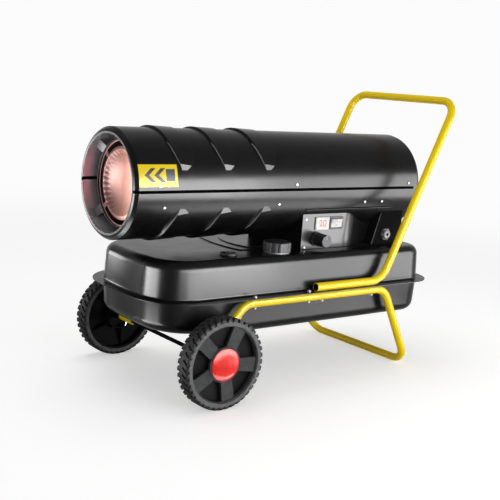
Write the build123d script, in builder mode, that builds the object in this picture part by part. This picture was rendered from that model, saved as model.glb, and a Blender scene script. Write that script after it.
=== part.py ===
from build123d import *
from math import cos, radians, sin, sqrt, tan
import os

# A wheeled forced air heater that burns kerosene or diesel. The hot air leaves
# at -X, the push handle is at +X, and the control panel is on the -Y side,
# which is the left side for a person who stands at the handle.
# All sizes are in millimetres. The floor is Z = 0 and the heater's plan centre
# is at X = 0, Y = 0.

# ------------------------------------------------------------------ dimensions
SHEET = 1.0                # steel sheet of the shells, the tank and the covers

# barrel
BARREL_R = 155.0           # outside of the painted shell
BARREL_AXIS_Z = 582.0
OUTLET_X = -572.0          # front face of the shell
SHELL_REAR_X = 497.0
OUTLET_R = 136.0           # free radius inside the turned-in front lip
LIP_DEPTH = 11.0           # how far back the lip's sloping shoulder starts
SEAM_GAP = 8.5             # between the two half shells, closed by a seal

# pressed ribs, three round the upper shell and three round the lower one
RIB_PITCH = 145.0
RIB_START_X = OUTLET_X + 124.0
RIB_FRONT_H = 6.0
RIB_REAR_H = 3.0
RIB_COUNT = 3

# combustion chamber
CHAMBER_R = 121.0
CHAMBER_FRONT_X = OUTLET_X + 40.0
CHAMBER_REAR_X = 168.0
CHAMBER_SHEET = 0.8

# fuel tank
TANK_BOTTOM_Z = 172.0
NOSE_RISE_X = -200.0       # in front of here the tank's bottom rises towards the nose
NOSE_RISE = 3.7            # degrees
NOSE_BEND_R = 500.0
DRAIN_X = -150.0
TANK_SEAM_Z = 283.0
TANK_TOP_Z = 390.0
TANK_FRONT_X = -506.0
TANK_REAR_X = 528.0
TANK_HALF_W = 208.0
TANK_FRONT_CORNER_R = 124.0
TANK_REAR_CORNER_R = 80.0
TANK_DRAFT = 3.0           # degrees
TANK_EDGE_R = 28.0
FLANGE_FRONT = 30.0
FLANGE_SIDE = 38.0
FLANGE_REAR = 20.0
STEP_H = 3.0
STEP_EDGES = (             # far end, foremost point and near end of each step's front
    ((-146.0, 160.0), (-176.0, 10.0), (-164.0, -86.0)),
    ((-74.0, 150.0), (-136.0, 10.0), (-122.0, -70.0)),
)

# tubular frame
TUBE_R = 12.5
TUBE_WALL = 1.8
TUBE_Y = 231.0
RAIL_Z = TANK_SEAM_Z - SHEET - TUBE_R
FOOT_X = 442.0
RAIL_FRONT_X = -246.0
RAIL_REAR_X = 309.0
HANDLE_RUN_Z = TANK_SEAM_Z + SHEET + TUBE_R
HANDLE_FRONT_X = 17.0
HANDLE_BEND_X = 294.0
HANDLE_TOP_X = 559.5
HANDLE_TOP_Z = 863.5
BOLT_X = (-211.0, -9.0, 44.0, 252.0)
HANDLE_BOLT_X = BOLT_X[2:]
BOLT_R = 3.0

# wheels
WHEEL_R = 128.0
AXLE_X = -356.0
AXLE_Z = WHEEL_R
AXLE_R = 6.0
RUNNING_GAP = 0.05
WHEEL_INNER_Y = 259.0
WHEEL_OUTER_Y = 308.0
TYRE_INNER_R = 109.0
HUB_CAP_R = 45.0

# base box between the tank and the barrel
BOX_FRONT_X = 33.0
BOX_REAR_X = 468.0
BOX_HALF_W = 130.0
BOX_TOP_Z = 498.0
PANEL_FLAT_X = 232.0        # where the panel's front would meet its slanting end
PANEL_BEND_R = 150.0
PANEL_END_X = 310.0
PANEL_Y = -BOX_HALF_W - SHEET
HEM_REAR_X = 400.0
HEM_ANGLE = 26.8           # degrees below the barrel's axis
WIRE_HOLE_X = 235.0

# controls on the panel
KNOB_X, KNOB_Z = 92.0, 421.0
KNOB_R = 21.0
KNOB_LENGTH = 50.0
DISPLAY_X = 111.5
ROCKER_X = 169.6
WINDOW_Z = 468.3
WINDOW_W, WINDOW_H = 54.0, 39.0
WINDOW_DEPTH = 8.0         # behind the panel, where the barrel leaves little room
GLAND_X, GLAND_Z = 392.0, 423.0

# fuel filler and gauge
CAP_X, CAP_Y = -64.0, -134.0
CAP_R = 42.0
CAP_H = 30.0
FILLER_R = 27.0
NECK_FLANGE_R = 39.0
GAUGE_X, GAUGE_Y = -233.0, -122.0
GAUGE_R = 25.0

# fan, motor and air pump, all on the barrel's axis
SHAFT_R = 5.0
FAN_X = 268.0
FAN_R = 140.0
FAN_HUB_R = 34.0
FAN_BLADES = 5
MOTOR_FRONT_X = 312.0
MOTOR_REAR_X = 408.0
MOTOR_R = 56.0
PUMP_FRONT_X = 414.0
PUMP_REAR_X = 440.0
PUMP_R = 46.0

barrel_axis = Axis((0, 0, BARREL_AXIS_Z), (1, 0, 0))
# a drawing plane through the barrel's axis: its x is X, its y is the radius
barrel_plane = Plane(origin=(0, 0, BARREL_AXIS_Z), x_dir=(1, 0, 0), z_dir=(0, -1, 0))
axle_axis = Axis((AXLE_X, 0, AXLE_Z), (0, 1, 0))
# a drawing plane through the axle: its x is Y, its y is the radius
axle_plane = Plane(origin=(AXLE_X, 0, AXLE_Z), x_dir=(0, 1, 0), z_dir=(1, 0, 0))

os.makedirs("parts", exist_ok=True)


def across(x):
    """A drawing plane square to the barrel, at X = x: its x is Y and its y is up."""
    return Plane(origin=(x, 0, BARREL_AXIS_Z), x_dir=(0, 1, 0), z_dir=(1, 0, 0))


def side_plane(y):
    """A drawing plane that faces the control side at Y = y: its x is X and its y is Z."""
    return Plane(origin=(0, y, 0), x_dir=(1, 0, 0), z_dir=(0, -1, 0))


# ------------------------------------------------------------------ barrel shell
# Both halves come from one revolved profile: a plain tube whose front edge
# slopes inwards to a flat lip.
with BuildPart() as shell_tube:
    with BuildSketch(barrel_plane):
        with BuildLine() as shell_wall:
            FilletPolyline(
                (SHELL_REAR_X, BARREL_R - SHEET / 2),
                (OUTLET_X + LIP_DEPTH, BARREL_R - SHEET / 2),
                (OUTLET_X + 2.6, BARREL_R - 7.5),
                (OUTLET_X + SHEET / 2, BARREL_R - 13),
                (OUTLET_X + SHEET / 2, OUTLET_R),
                radius=[2.0, 4.0, 4.0],
            )
        trace(shell_wall.line, line_width=SHEET)
    revolve(axis=barrel_axis)

# One pressed rib. It rises steeply at its front edge and falls away to the
# rear, and it runs over the top from a narrow tip on one side of the shell to
# the same tip on the other side.
RIB_WIDTH = 72.0
RIB_TIP_Y = BARREL_R * sqrt(1 - 0.34 ** 2)
RAMP_TILT = 4.0            # degrees off upright
with BuildPart() as rib:
    with BuildSketch(barrel_plane):
        with BuildLine():
            Polyline(
                (RIB_START_X, BARREL_R - 0.5),
                (RIB_START_X + 4, BARREL_R + RIB_FRONT_H),
                (RIB_START_X + RIB_WIDTH, BARREL_R + RIB_REAR_H),
                (RIB_START_X + RIB_WIDTH, BARREL_R - 0.5),
                close=True,
            )
        make_face()
    revolve(axis=barrel_axis)
    with BuildSketch(barrel_plane):
        with BuildLine():
            Spline(
                (RIB_START_X, BARREL_R + 20),
                (RIB_START_X + 2, 0.80 * BARREL_R),
                (RIB_START_X + 10, 0.58 * BARREL_R),
                (RIB_START_X + 24, 0.34 * BARREL_R),
            )
            Line((RIB_START_X + 24, 0.34 * BARREL_R), (RIB_START_X + 40, 0.34 * BARREL_R))
            Spline(
                (RIB_START_X + 40, 0.34 * BARREL_R),
                (RIB_START_X + 58, 0.46 * BARREL_R),
                (RIB_START_X + 70, 0.62 * BARREL_R),
                (RIB_START_X + RIB_WIDTH, BARREL_R + 20),
            )
            Line((RIB_START_X + RIB_WIDTH, BARREL_R + 20), (RIB_START_X, BARREL_R + 20))
        make_face()
    extrude(amount=2 * BARREL_R, both=True, mode=Mode.INTERSECT)
    # both tips run out in a gentle ramp
    for side in (-1, 1):
        ramp = Plane(
            origin=(RIB_START_X, side * RIB_TIP_Y, BARREL_AXIS_Z + 0.34 * BARREL_R),
            x_dir=(1, 0, 0),
            z_dir=(0, side * cos(radians(RAMP_TILT)), sin(radians(RAMP_TILT))),
        )
        with BuildSketch(ramp):
            Rectangle(4 * RIB_WIDTH, 200)
        extrude(amount=30, mode=Mode.SUBTRACT)
    # the press leaves the rear edge rounded
    fillet(
        rib.edges().filter_by(
            lambda e: e.length > 40 and e.center().X > RIB_START_X + RIB_WIDTH - 12
            and abs(e.center().Y) < 134.25 and e.center().Z > BARREL_AXIS_Z + 80
            and not (e.length < 70 and e.center().X < RIB_START_X + 60)
            and not (abs(e.center().Y) < 1 and e.center().Z < BARREL_AXIS_Z + BARREL_R + 1)
        ),
        radius=1.2,
    )

with BuildPart() as upper_shell:
    add(shell_tube.part)
    for i in range(RIB_COUNT):
        with Locations((i * RIB_PITCH, 0, 0)):
            add(rib.part)
    split(bisect_by=Plane.XY.offset(BARREL_AXIS_Z), keep=Keep.TOP)

with BuildPart() as lower_shell:
    add(shell_tube.part)
    lower_rib = mirror(rib.part, about=Plane.XY.offset(BARREL_AXIS_Z), mode=Mode.PRIVATE)
    for i in range(RIB_COUNT):
        with Locations((i * RIB_PITCH, 0, 0)):
            add(lower_rib)
    split(bisect_by=Plane.XY.offset(BARREL_AXIS_Z - SEAM_GAP), keep=Keep.BOTTOM)
    # a low hem runs along each flank just above the base box
    for side in (-1, 1):
        hem = Plane(
            origin=((BOX_FRONT_X + HEM_REAR_X) / 2, side * BARREL_R * cos(radians(HEM_ANGLE)),
                    BARREL_AXIS_Z - BARREL_R * sin(radians(HEM_ANGLE))),
            x_dir=(1, 0, 0),
            z_dir=(0, side * cos(radians(HEM_ANGLE)), -sin(radians(HEM_ANGLE))),
        )
        with BuildSketch(hem.offset(-1)):
            Rectangle(HEM_REAR_X - BOX_FRONT_X, 4)
        extrude(amount=3)
    # hole for the wires and hoses that come up from the base box
    with Locations((WIRE_HOLE_X, 0, BARREL_AXIS_Z - BARREL_R)):
        Cylinder(16, 20, mode=Mode.SUBTRACT)

# A flat seal lies in the gap between the two half shells and follows the lip.
# It ends where the rear guard's collar begins.
SEAL_REAR_X = SHELL_REAR_X - 14.5
with BuildPart() as seam_seals:
    for side in (-1, 1):
        with BuildSketch(Plane.XY.offset(BARREL_AXIS_Z - SEAM_GAP)):
            with BuildLine():
                Polyline(
                    (OUTLET_X + 0.6, side * (OUTLET_R + 1)),
                    (OUTLET_X + 0.6, side * (BARREL_R - 12)),
                    (OUTLET_X + LIP_DEPTH, side * (BARREL_R - 1)),
                    (SEAL_REAR_X, side * (BARREL_R - 1)),
                    (SEAL_REAR_X, side * (BARREL_R - 4)),
                    (OUTLET_X + LIP_DEPTH + 1, side * (BARREL_R - 4)),
                    (OUTLET_X + 3.6, side * (BARREL_R - 12)),
                    (OUTLET_X + 3.6, side * (OUTLET_R + 1)),
                    close=True,
                )
            make_face()
        extrude(amount=SEAM_GAP)

# Short sheet-metal screws along the seam and low on the shell's flanks.
SEAM_SCREW_X = (-498.0, -22.0, 457.0)
FLANK_SCREW_X = (-476.0, -79.0, 272.0, 348.0)
SCREW_HEAD_R = 4.0
with BuildPart() as shell_screws:
    for side in (-1, 1):
        for x, angle in [(x, 4.0) for x in SEAM_SCREW_X] + [(x, -18.0) for x in FLANK_SCREW_X]:
            outward = Plane(
                origin=(x, side * BARREL_R * cos(radians(angle)),
                        BARREL_AXIS_Z + BARREL_R * sin(radians(angle))),
                z_dir=(0, side * cos(radians(angle)), sin(radians(angle))),
            )
            with BuildSketch(outward):
                Circle(SCREW_HEAD_R)
            extrude(amount=2.2)

# ------------------------------------------------------------------ combustion chamber
with BuildPart() as combustion_chamber:
    with BuildSketch(barrel_plane):
        with BuildLine():
            Polyline(
                (CHAMBER_REAR_X, 38),
                (CHAMBER_REAR_X, CHAMBER_R),
                (CHAMBER_FRONT_X, CHAMBER_R),
                (CHAMBER_FRONT_X, CHAMBER_R - CHAMBER_SHEET),
                (CHAMBER_REAR_X - CHAMBER_SHEET, CHAMBER_R - CHAMBER_SHEET),
                (CHAMBER_REAR_X - CHAMBER_SHEET, 38),
                close=True,
            )
        make_face()
    revolve(axis=barrel_axis)
    # the front edge is rolled into a bead
    with BuildSketch(barrel_plane):
        with Locations((CHAMBER_FRONT_X, CHAMBER_R - 1.5)):
            Circle(2.0)
    revolve(axis=barrel_axis)

# The dished front plate: four arc slots near its rim let the flame gases out,
# and the deep bowl in its middle glows when the heater runs.
BAFFLE_X = CHAMBER_FRONT_X + 5.0
SLOT_INNER_R, SLOT_OUTER_R = 101.0, 116.0
SLOTS = ((0, 74), (90, 90), (180, 74), (270, 90))   # middle and sweep, degrees
with BuildPart() as flame_baffle:
    with BuildSketch(barrel_plane):
        with BuildLine():
            Polyline(
                (BAFFLE_X, CHAMBER_R - CHAMBER_SHEET),
                (BAFFLE_X - 0.5, 98),
                (BAFFLE_X - 2.5, 94),
                (BAFFLE_X + 6, 84),
                (BAFFLE_X + 12, 76),
                (BAFFLE_X + 19, 60),
                (BAFFLE_X + 25, 36),
                (BAFFLE_X + 27, 0),
                (BAFFLE_X + 27 + SHEET, 0),
                (BAFFLE_X + 25 + SHEET, 36.5),
                (BAFFLE_X + 19 + SHEET, 60.7),
                (BAFFLE_X + 12 + SHEET, 77),
                (BAFFLE_X + 6 + SHEET, 85),
                (BAFFLE_X - 2.5 + 1.6 * SHEET, 95),
                (BAFFLE_X + SHEET, 98.5),
                (BAFFLE_X + SHEET, CHAMBER_R - CHAMBER_SHEET),
                close=True,
            )
        make_face()
    revolve(axis=barrel_axis)
    for middle, sweep_angle in SLOTS:
        start = middle - sweep_angle / 2
        with BuildSketch(across(BAFFLE_X - 20)):
            with BuildLine():
                inner = CenterArc((0, 0), SLOT_INNER_R, start, sweep_angle)
                outer = CenterArc((0, 0), SLOT_OUTER_R, start, sweep_angle)
                Line(inner @ 0, outer @ 0)
                Line(inner @ 1, outer @ 1)
            make_face()
        extrude(amount=60, mode=Mode.SUBTRACT)

# Two rings of four bent straps hold the chamber in the shell, with an air gap all
# round. The front ones reach forwards to their rivets just inside the outlet.
STRAP_ANGLES = (40, 140, 220, 320)
RIVET_R = 2.2
RIVET_REACH = 41.0         # from a front strap's rear end to its rivet
with BuildPart() as chamber_brackets:
    for x, way in ((CHAMBER_FRONT_X + 28, -1), (BOX_FRONT_X - 80, 1)):
        for angle in STRAP_ANGLES:
            radial = Plane(origin=(x, 0, BARREL_AXIS_Z), x_dir=(1, 0, 0),
                           z_dir=(0, sin(radians(angle)), -cos(radians(angle))))
            with BuildSketch(radial):
                with BuildLine():
                    Polyline(
                        (0, CHAMBER_R), (way * 18, CHAMBER_R),
                        (way * 33, BARREL_R - SHEET - 2.3), (way * 49, BARREL_R - SHEET - 2.3),
                        (way * 49, BARREL_R - SHEET - 0.8), (way * 32, BARREL_R - SHEET - 0.8),
                        (way * 17, CHAMBER_R + 1.5), (0, CHAMBER_R + 1.5), close=True,
                    )
                make_face()
            extrude(amount=14, both=True)
            if way < 0:
                with Locations(radial * Location((-RIVET_REACH, BARREL_R - SHEET - 2.3, 0))):
                    Sphere(RIVET_R)

# ------------------------------------------------------------------ burner
BURNER_R = 37.8
with BuildPart() as burner_head:
    with BuildSketch(barrel_plane):
        with BuildLine():
            Polyline(
                (CHAMBER_REAR_X - 30, 26), (CHAMBER_REAR_X - 30, 34), (CHAMBER_REAR_X - 1.2, BURNER_R),
                (CHAMBER_REAR_X, BURNER_R), (CHAMBER_REAR_X, 46), (CHAMBER_REAR_X + 3, 46),
                (CHAMBER_REAR_X + 3, 8), (CHAMBER_REAR_X + 1, 8), (CHAMBER_REAR_X + 1, 30),
                (CHAMBER_REAR_X - 28, 26), close=True,
            )
        make_face()
    revolve(axis=barrel_axis)
    with BuildSketch(across(CHAMBER_REAR_X + 1)):
        with PolarLocations(19, 8, start_angle=22.5):
            Circle(4)
    extrude(amount=4, mode=Mode.SUBTRACT)
    # openings for the spark plug and the flame sensor
    with BuildSketch(across(CHAMBER_REAR_X)):
        with Locations((0, 36), (0, -36)):
            Circle(5.2)
    extrude(amount=35, both=True, mode=Mode.SUBTRACT)

with BuildPart() as fuel_nozzle:
    with BuildSketch(barrel_plane):
        with BuildLine():
            Polyline(
                (CHAMBER_REAR_X - 18, 0), (CHAMBER_REAR_X - 18, 3), (CHAMBER_REAR_X - 12, 7.9),
                (CHAMBER_REAR_X + 3, 7.9), (CHAMBER_REAR_X + 3, 11), (CHAMBER_REAR_X + 12, 11),
                (CHAMBER_REAR_X + 12, 6), (CHAMBER_REAR_X + 26, 6), (CHAMBER_REAR_X + 26, 0),
                close=True,
            )
        make_face()
    revolve(axis=barrel_axis)

with BuildPart() as spark_plug:
    with BuildSketch(across(CHAMBER_REAR_X - 26)):
        with Locations((0, 36)):
            Circle(2)
    extrude(amount=26)
    with BuildSketch(across(CHAMBER_REAR_X)):
        with Locations((0, 36)):
            Circle(5)
    extrude(amount=32)
    with BuildSketch(across(CHAMBER_REAR_X + 3)):
        with Locations((0, 36)):
            RegularPolygon(radius=9, side_count=6)
    extrude(amount=8)

with BuildPart() as flame_sensor:
    with BuildSketch(across(CHAMBER_REAR_X)):
        with Locations((0, -36)):
            Circle(5)
    extrude(amount=28)
    with BuildSketch(across(CHAMBER_REAR_X + 3)):
        with Locations((0, -36)):
            Rectangle(22, 16)
    extrude(amount=12)

# ------------------------------------------------------------------ fan, motor and pump
with BuildPart() as motor_shaft:
    with BuildSketch(across(FAN_X - 22)):
        Circle(SHAFT_R)
    extrude(amount=PUMP_REAR_X - 1 - (FAN_X - 22))
    # the rotor core turns inside the motor's case
    with BuildSketch(across(MOTOR_FRONT_X + 16)):
        Circle(30)
    extrude(amount=MOTOR_REAR_X - MOTOR_FRONT_X - 32)

BLADE_PITCH = 28.0
with BuildPart() as fan:
    with BuildSketch(across(FAN_X - 18)):
        Circle(FAN_HUB_R)
    extrude(amount=36)
    for i in range(FAN_BLADES):
        angle = 360 / FAN_BLADES * i
        # a blade grows outwards from the hub and leans towards the outlet
        foot = Plane(origin=(FAN_X, 0, BARREL_AXIS_Z), x_dir=(1, 0, 0),
                     z_dir=(0, sin(radians(angle)), cos(radians(angle))))
        with BuildSketch(foot.offset(20)):
            Rectangle(3, 44, rotation=-BLADE_PITCH - 22)
        with BuildSketch(foot.offset(FAN_R - 6)):
            Rectangle(2.5, 96, rotation=-BLADE_PITCH - 34)
        loft()
    with BuildSketch(across(FAN_X - 60)):
        Circle(FAN_R + 60)
        Circle(FAN_R, mode=Mode.SUBTRACT)
    extrude(amount=120, mode=Mode.SUBTRACT)
    with BuildSketch(across(FAN_X - 30)):
        Circle(SHAFT_R)
    extrude(amount=60, mode=Mode.SUBTRACT)

with BuildPart() as motor:
    with BuildSketch(across(MOTOR_FRONT_X)):
        Circle(MOTOR_R)
    extrude(amount=MOTOR_REAR_X - MOTOR_FRONT_X)
    fillet(edges().filter_by(GeomType.CIRCLE), radius=7)
    # cavity for the rotor core, and bearings for the shaft
    with BuildSketch(across(MOTOR_FRONT_X + 10)):
        Circle(33)
    extrude(amount=MOTOR_REAR_X - MOTOR_FRONT_X - 20, mode=Mode.SUBTRACT)
    with BuildSketch(across(MOTOR_FRONT_X - 1)):
        Circle(SHAFT_R + RUNNING_GAP)
    extrude(amount=MOTOR_REAR_X - MOTOR_FRONT_X + 2, mode=Mode.SUBTRACT)

# A clamp holds the motor, and eight flat struts hold the clamp in the shell.
CLAMP_X = MOTOR_FRONT_X + 18
CLAMP_LENGTH = 60.0
with BuildPart() as motor_clamp:
    with BuildSketch(across(CLAMP_X)):
        Circle(MOTOR_R + 3)
        Circle(MOTOR_R, mode=Mode.SUBTRACT)
    extrude(amount=CLAMP_LENGTH)

with BuildPart() as motor_struts:
    for x in (CLAMP_X + 4, CLAMP_X + CLAMP_LENGTH - 10):
        with BuildSketch(across(x)):
            for angle in (30, 150, 210, 330):
                with Locations(Location((0, 0), angle)):
                    with Locations((105, 0)):
                        Rectangle(2 * (BARREL_R - SHEET - 105), 16)
            Circle(MOTOR_R + 3, mode=Mode.SUBTRACT)
            with BuildSketch(mode=Mode.INTERSECT):
                Circle(BARREL_R - SHEET - 0.1)
        extrude(amount=6)

with BuildPart() as pump_housing:
    with BuildSketch(across(MOTOR_REAR_X)):
        Circle(PUMP_R)
    extrude(amount=PUMP_REAR_X - MOTOR_REAR_X)
    # the vanes sweep an offset chamber, so the air is squeezed on one side
    with BuildSketch(across(PUMP_FRONT_X)):
        with Locations((0, 2)):
            Circle(27)
    extrude(amount=PUMP_REAR_X - PUMP_FRONT_X, mode=Mode.SUBTRACT)
    with BuildSketch(across(MOTOR_REAR_X - 1)):
        Circle(SHAFT_R + RUNNING_GAP)
    extrude(amount=20, mode=Mode.SUBTRACT)

with BuildPart() as pump_rotor:
    with BuildSketch(across(PUMP_FRONT_X + 0.5)):
        Circle(24)
        Circle(SHAFT_R, mode=Mode.SUBTRACT)
        with PolarLocations(20, 4, start_angle=45):
            Rectangle(9, 2.2, mode=Mode.SUBTRACT)
    extrude(amount=PUMP_REAR_X - PUMP_FRONT_X - 1)

with BuildPart() as pump_end_cover:
    with BuildSketch(across(PUMP_REAR_X)):
        Circle(PUMP_R)
    extrude(amount=8)
    with BuildSketch(across(PUMP_REAR_X + 8)):
        with PolarLocations(38, 6):
            Circle(3)
    extrude(amount=3)

with BuildPart() as air_filter:
    with BuildSketch(across(PUMP_REAR_X + 8)):
        Circle(33)
    extrude(amount=24)
    fillet(faces().sort_by(Axis.X)[-1].edges(), radius=4)
    with BuildSketch(across(PUMP_REAR_X + 7)):
        with Locations((0, 18)):
            Circle(9.2)
    extrude(amount=40, mode=Mode.SUBTRACT)

with BuildPart() as pressure_gauge:
    with BuildSketch(across(PUMP_REAR_X + 8)):
        with Locations((0, 18)):
            Circle(5)
    extrude(amount=26)
    with BuildSketch(across(PUMP_REAR_X + 34)):
        with Locations((0, 18)):
            Circle(19)
    extrude(amount=14)
    fillet(faces().sort_by(Axis.X)[-1].edges(), radius=2)

# The rear guard closes the intake end with rings and spokes behind the shell.
GUARD_BULGE = 15.0
GUARD_RINGS = 8
GUARD_FIRST_RING_R = 32.0
GUARD_RING_PITCH = 14.0
GUARD_SLOT = 9.0
with BuildPart() as rear_guard:
    with BuildSketch(barrel_plane):
        with BuildLine():
            FilletPolyline(
                (SHELL_REAR_X - 14, BARREL_R - SHEET - 0.2),
                (SHELL_REAR_X + GUARD_BULGE, BARREL_R - SHEET - 0.2),
                (SHELL_REAR_X + GUARD_BULGE, 0),
                radius=12,
            )
            FilletPolyline(
                (SHELL_REAR_X - 14, BARREL_R - SHEET - 2.2),
                (SHELL_REAR_X + GUARD_BULGE - 2, BARREL_R - SHEET - 2.2),
                (SHELL_REAR_X + GUARD_BULGE - 2, 0),
                radius=10,
            )
            Line((SHELL_REAR_X - 14, BARREL_R - SHEET - 0.2), (SHELL_REAR_X - 14, BARREL_R - SHEET - 2.2))
            Line((SHELL_REAR_X + GUARD_BULGE, 0), (SHELL_REAR_X + GUARD_BULGE - 2, 0))
        make_face()
    revolve(axis=barrel_axis)
    for ring in range(GUARD_RINGS):
        middle = GUARD_FIRST_RING_R + ring * GUARD_RING_PITCH
        with BuildSketch(across(SHELL_REAR_X + GUARD_BULGE - 4)):
            Circle(middle + GUARD_SLOT / 2)
            Circle(middle - GUARD_SLOT / 2, mode=Mode.SUBTRACT)
            with PolarLocations(80, 6):
                Rectangle(140, 6, mode=Mode.SUBTRACT)
        extrude(amount=10, mode=Mode.SUBTRACT)

# ------------------------------------------------------------------ fuel tank


def tank_outline(grow_front=0.0, grow_side=0.0, grow_rear=0.0):
    """Half plan of the tank, mirrored: a blunt bowed nose and a squarer tail."""
    front = TANK_FRONT_X - grow_front
    rear = TANK_REAR_X + grow_rear
    half = TANK_HALF_W + grow_side
    r_front = TANK_FRONT_CORNER_R + (grow_front + grow_side) / 2
    r_rear = TANK_REAR_CORNER_R + (grow_side + grow_rear) / 2
    bow = 5.0
    with BuildLine() as outline:
        ThreePointArc((front + bow, half - r_front), (front, 0), (front + bow, r_front - half))
        for side in (-1, 1):
            a = (front + bow, side * (half - r_front))
            b = (front + bow + r_front, side * half)
            c = (rear - r_rear, side * half)
            d = (rear, side * (half - r_rear))
            ThreePointArc(
                a,
                (front + bow + r_front * (1 - cos(radians(45))),
                 side * (half - r_front * (1 - sin(radians(45))))),
                b,
            )
            Line(b, c)
            ThreePointArc(
                c,
                (rear - r_rear * (1 - sin(radians(45))),
                 side * (half - r_rear * (1 - cos(radians(45))))),
                d,
            )
        Line((rear, half - r_rear), (rear, r_rear - half))
    return outline.line


FLANGE_GROW = (FLANGE_FRONT, FLANGE_SIDE, FLANGE_REAR)
FLANGE_FOOT_R = 6.0
seam_up = Plane.XY.offset(TANK_SEAM_Z)


def rising_bottom(depth):
    """What the sloping front takes off the lower half, while that half is upside down."""
    top = TANK_SEAM_Z + depth
    bend = NOSE_BEND_R * tan(radians(NOSE_RISE / 2))
    run = 400
    far = (NOSE_RISE_X - run * cos(radians(NOSE_RISE)), top - run * sin(radians(NOSE_RISE)))
    with BuildPart() as wedge:
        with BuildSketch(Plane.XZ):
            with BuildLine():
                level = Line((NOSE_RISE_X + bend + 60, top + 40), (NOSE_RISE_X + bend, top))
                curve = JernArc(level @ 1, (-1, 0), NOSE_BEND_R, NOSE_RISE)
                Polyline(curve @ 1, far, (far[0], top + 40), level @ 0)
            make_face()
        extrude(amount=400, both=True)
    return wedge.part


def rim_of(part):
    """The outer edges of a part's level and nearly level top faces."""
    tops = part.faces().filter_by(lambda f: f.normal_at().Z > 0.9)
    found = [e for f in tops for e in f.edges()]
    return [e for e in found if sum(e.is_same(other) for other in found) == 1]


# The hollow of each half is its own outline, one sheet smaller all over.
with BuildPart() as upper_hollow:
    with BuildSketch(seam_up):
        add(tank_outline(-SHEET, -SHEET, -SHEET))
        make_face()
    extrude(amount=TANK_TOP_Z - SHEET - TANK_SEAM_Z, taper=TANK_DRAFT)
    fillet(faces().sort_by(Axis.Z)[-1].edges(), radius=TANK_EDGE_R - SHEET)

with BuildPart() as lower_hollow:
    with BuildSketch(seam_up):
        add(tank_outline(-SHEET, -SHEET, -SHEET))
        make_face()
    extrude(amount=TANK_SEAM_Z - TANK_BOTTOM_Z - SHEET, taper=TANK_DRAFT)
    add(rising_bottom(TANK_SEAM_Z - TANK_BOTTOM_Z - SHEET), mode=Mode.SUBTRACT)
    fillet(rim_of(lower_hollow), radius=TANK_EDGE_R + 6 - SHEET)

with BuildPart() as tank_upper:
    with BuildSketch(seam_up):
        add(tank_outline())
        make_face()
    extrude(amount=TANK_TOP_Z - TANK_SEAM_Z, taper=TANK_DRAFT)
    fillet(faces().sort_by(Axis.Z)[-1].edges(), radius=TANK_EDGE_R)
    add(upper_hollow.part, mode=Mode.SUBTRACT)
    with BuildSketch(seam_up):
        add(tank_outline(*FLANGE_GROW))
        make_face()
        with BuildSketch(mode=Mode.SUBTRACT):
            add(tank_outline(-SHEET / 2, -SHEET / 2, -SHEET / 2))
            make_face()
    extrude(amount=SHEET)
    foot = edges(Select.NEW).filter_by_position(Axis.Z, TANK_SEAM_Z + SHEET - 0.01,
                                                TANK_SEAM_Z + SHEET + 0.01)
    fillet(foot, radius=FLANGE_FOOT_R)
    # two low steps rise towards the base box, with bowed front edges; they leave
    # the filler's corner flat
    for level, (far, nose, near) in enumerate(STEP_EDGES):
        with BuildSketch(Plane.XY.offset(TANK_TOP_Z - 0.5 + STEP_H * level)):
            with BuildLine():
                ThreePointArc(far, nose, near)
                Polyline(near, (BOX_FRONT_X, near[1]), (BOX_FRONT_X, far[1]), far)
            make_face()
            fillet(vertices().group_by(Axis.X)[:-1], radius=14)
        extrude(amount=STEP_H + 0.5, taper=30)
    # filler and gauge holes
    with Locations((CAP_X, CAP_Y, TANK_TOP_Z)):
        Cylinder(FILLER_R + 6, 40, mode=Mode.SUBTRACT)
    with Locations((GAUGE_X, GAUGE_Y, TANK_TOP_Z)):
        Cylinder(GAUGE_R - 5, 40, mode=Mode.SUBTRACT)
    with Locations([(x, side * TUBE_Y, TANK_SEAM_Z) for x in BOLT_X for side in (-1, 1)]):
        Cylinder(BOLT_R + 0.2, 10, mode=Mode.SUBTRACT)

# The lower half is drawn upside down, standing on the seam, and then mirrored.
with BuildPart() as lower_form:
    with BuildSketch(seam_up):
        add(tank_outline())
        make_face()
    extrude(amount=TANK_SEAM_Z - TANK_BOTTOM_Z, taper=TANK_DRAFT)
    add(rising_bottom(TANK_SEAM_Z - TANK_BOTTOM_Z), mode=Mode.SUBTRACT)
    fillet(rim_of(lower_form), radius=TANK_EDGE_R + 6)
    add(lower_hollow.part, mode=Mode.SUBTRACT)
    with BuildSketch(seam_up):
        add(tank_outline(*FLANGE_GROW))
        make_face()
        with BuildSketch(mode=Mode.SUBTRACT):
            add(tank_outline(-SHEET / 2, -SHEET / 2, -SHEET / 2))
            make_face()
    extrude(amount=SHEET)
    foot = edges(Select.NEW).filter_by_position(Axis.Z, TANK_SEAM_Z + SHEET - 0.01,
                                                TANK_SEAM_Z + SHEET + 0.01)
    fillet(foot, radius=FLANGE_FOOT_R)

with BuildPart() as tank_lower:
    mirror(lower_form.part, about=seam_up)
    with Locations([(x, side * TUBE_Y, TANK_SEAM_Z) for x in BOLT_X for side in (-1, 1)]):
        Cylinder(BOLT_R + 0.2, 10, mode=Mode.SUBTRACT)
    # drain hole
    with Locations((DRAIN_X, 0, TANK_BOTTOM_Z)):
        Cylinder(8, 20, mode=Mode.SUBTRACT)

with BuildPart() as drain_plug:
    with Locations((DRAIN_X, 0, TANK_BOTTOM_Z)):
        Cylinder(7.9, 8, align=(Align.CENTER, Align.CENTER, Align.MIN))
    with BuildSketch(Plane.XY.offset(TANK_BOTTOM_Z)):
        with Locations((DRAIN_X, 0)):
            RegularPolygon(radius=13, side_count=6)
    extrude(amount=-8)

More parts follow.
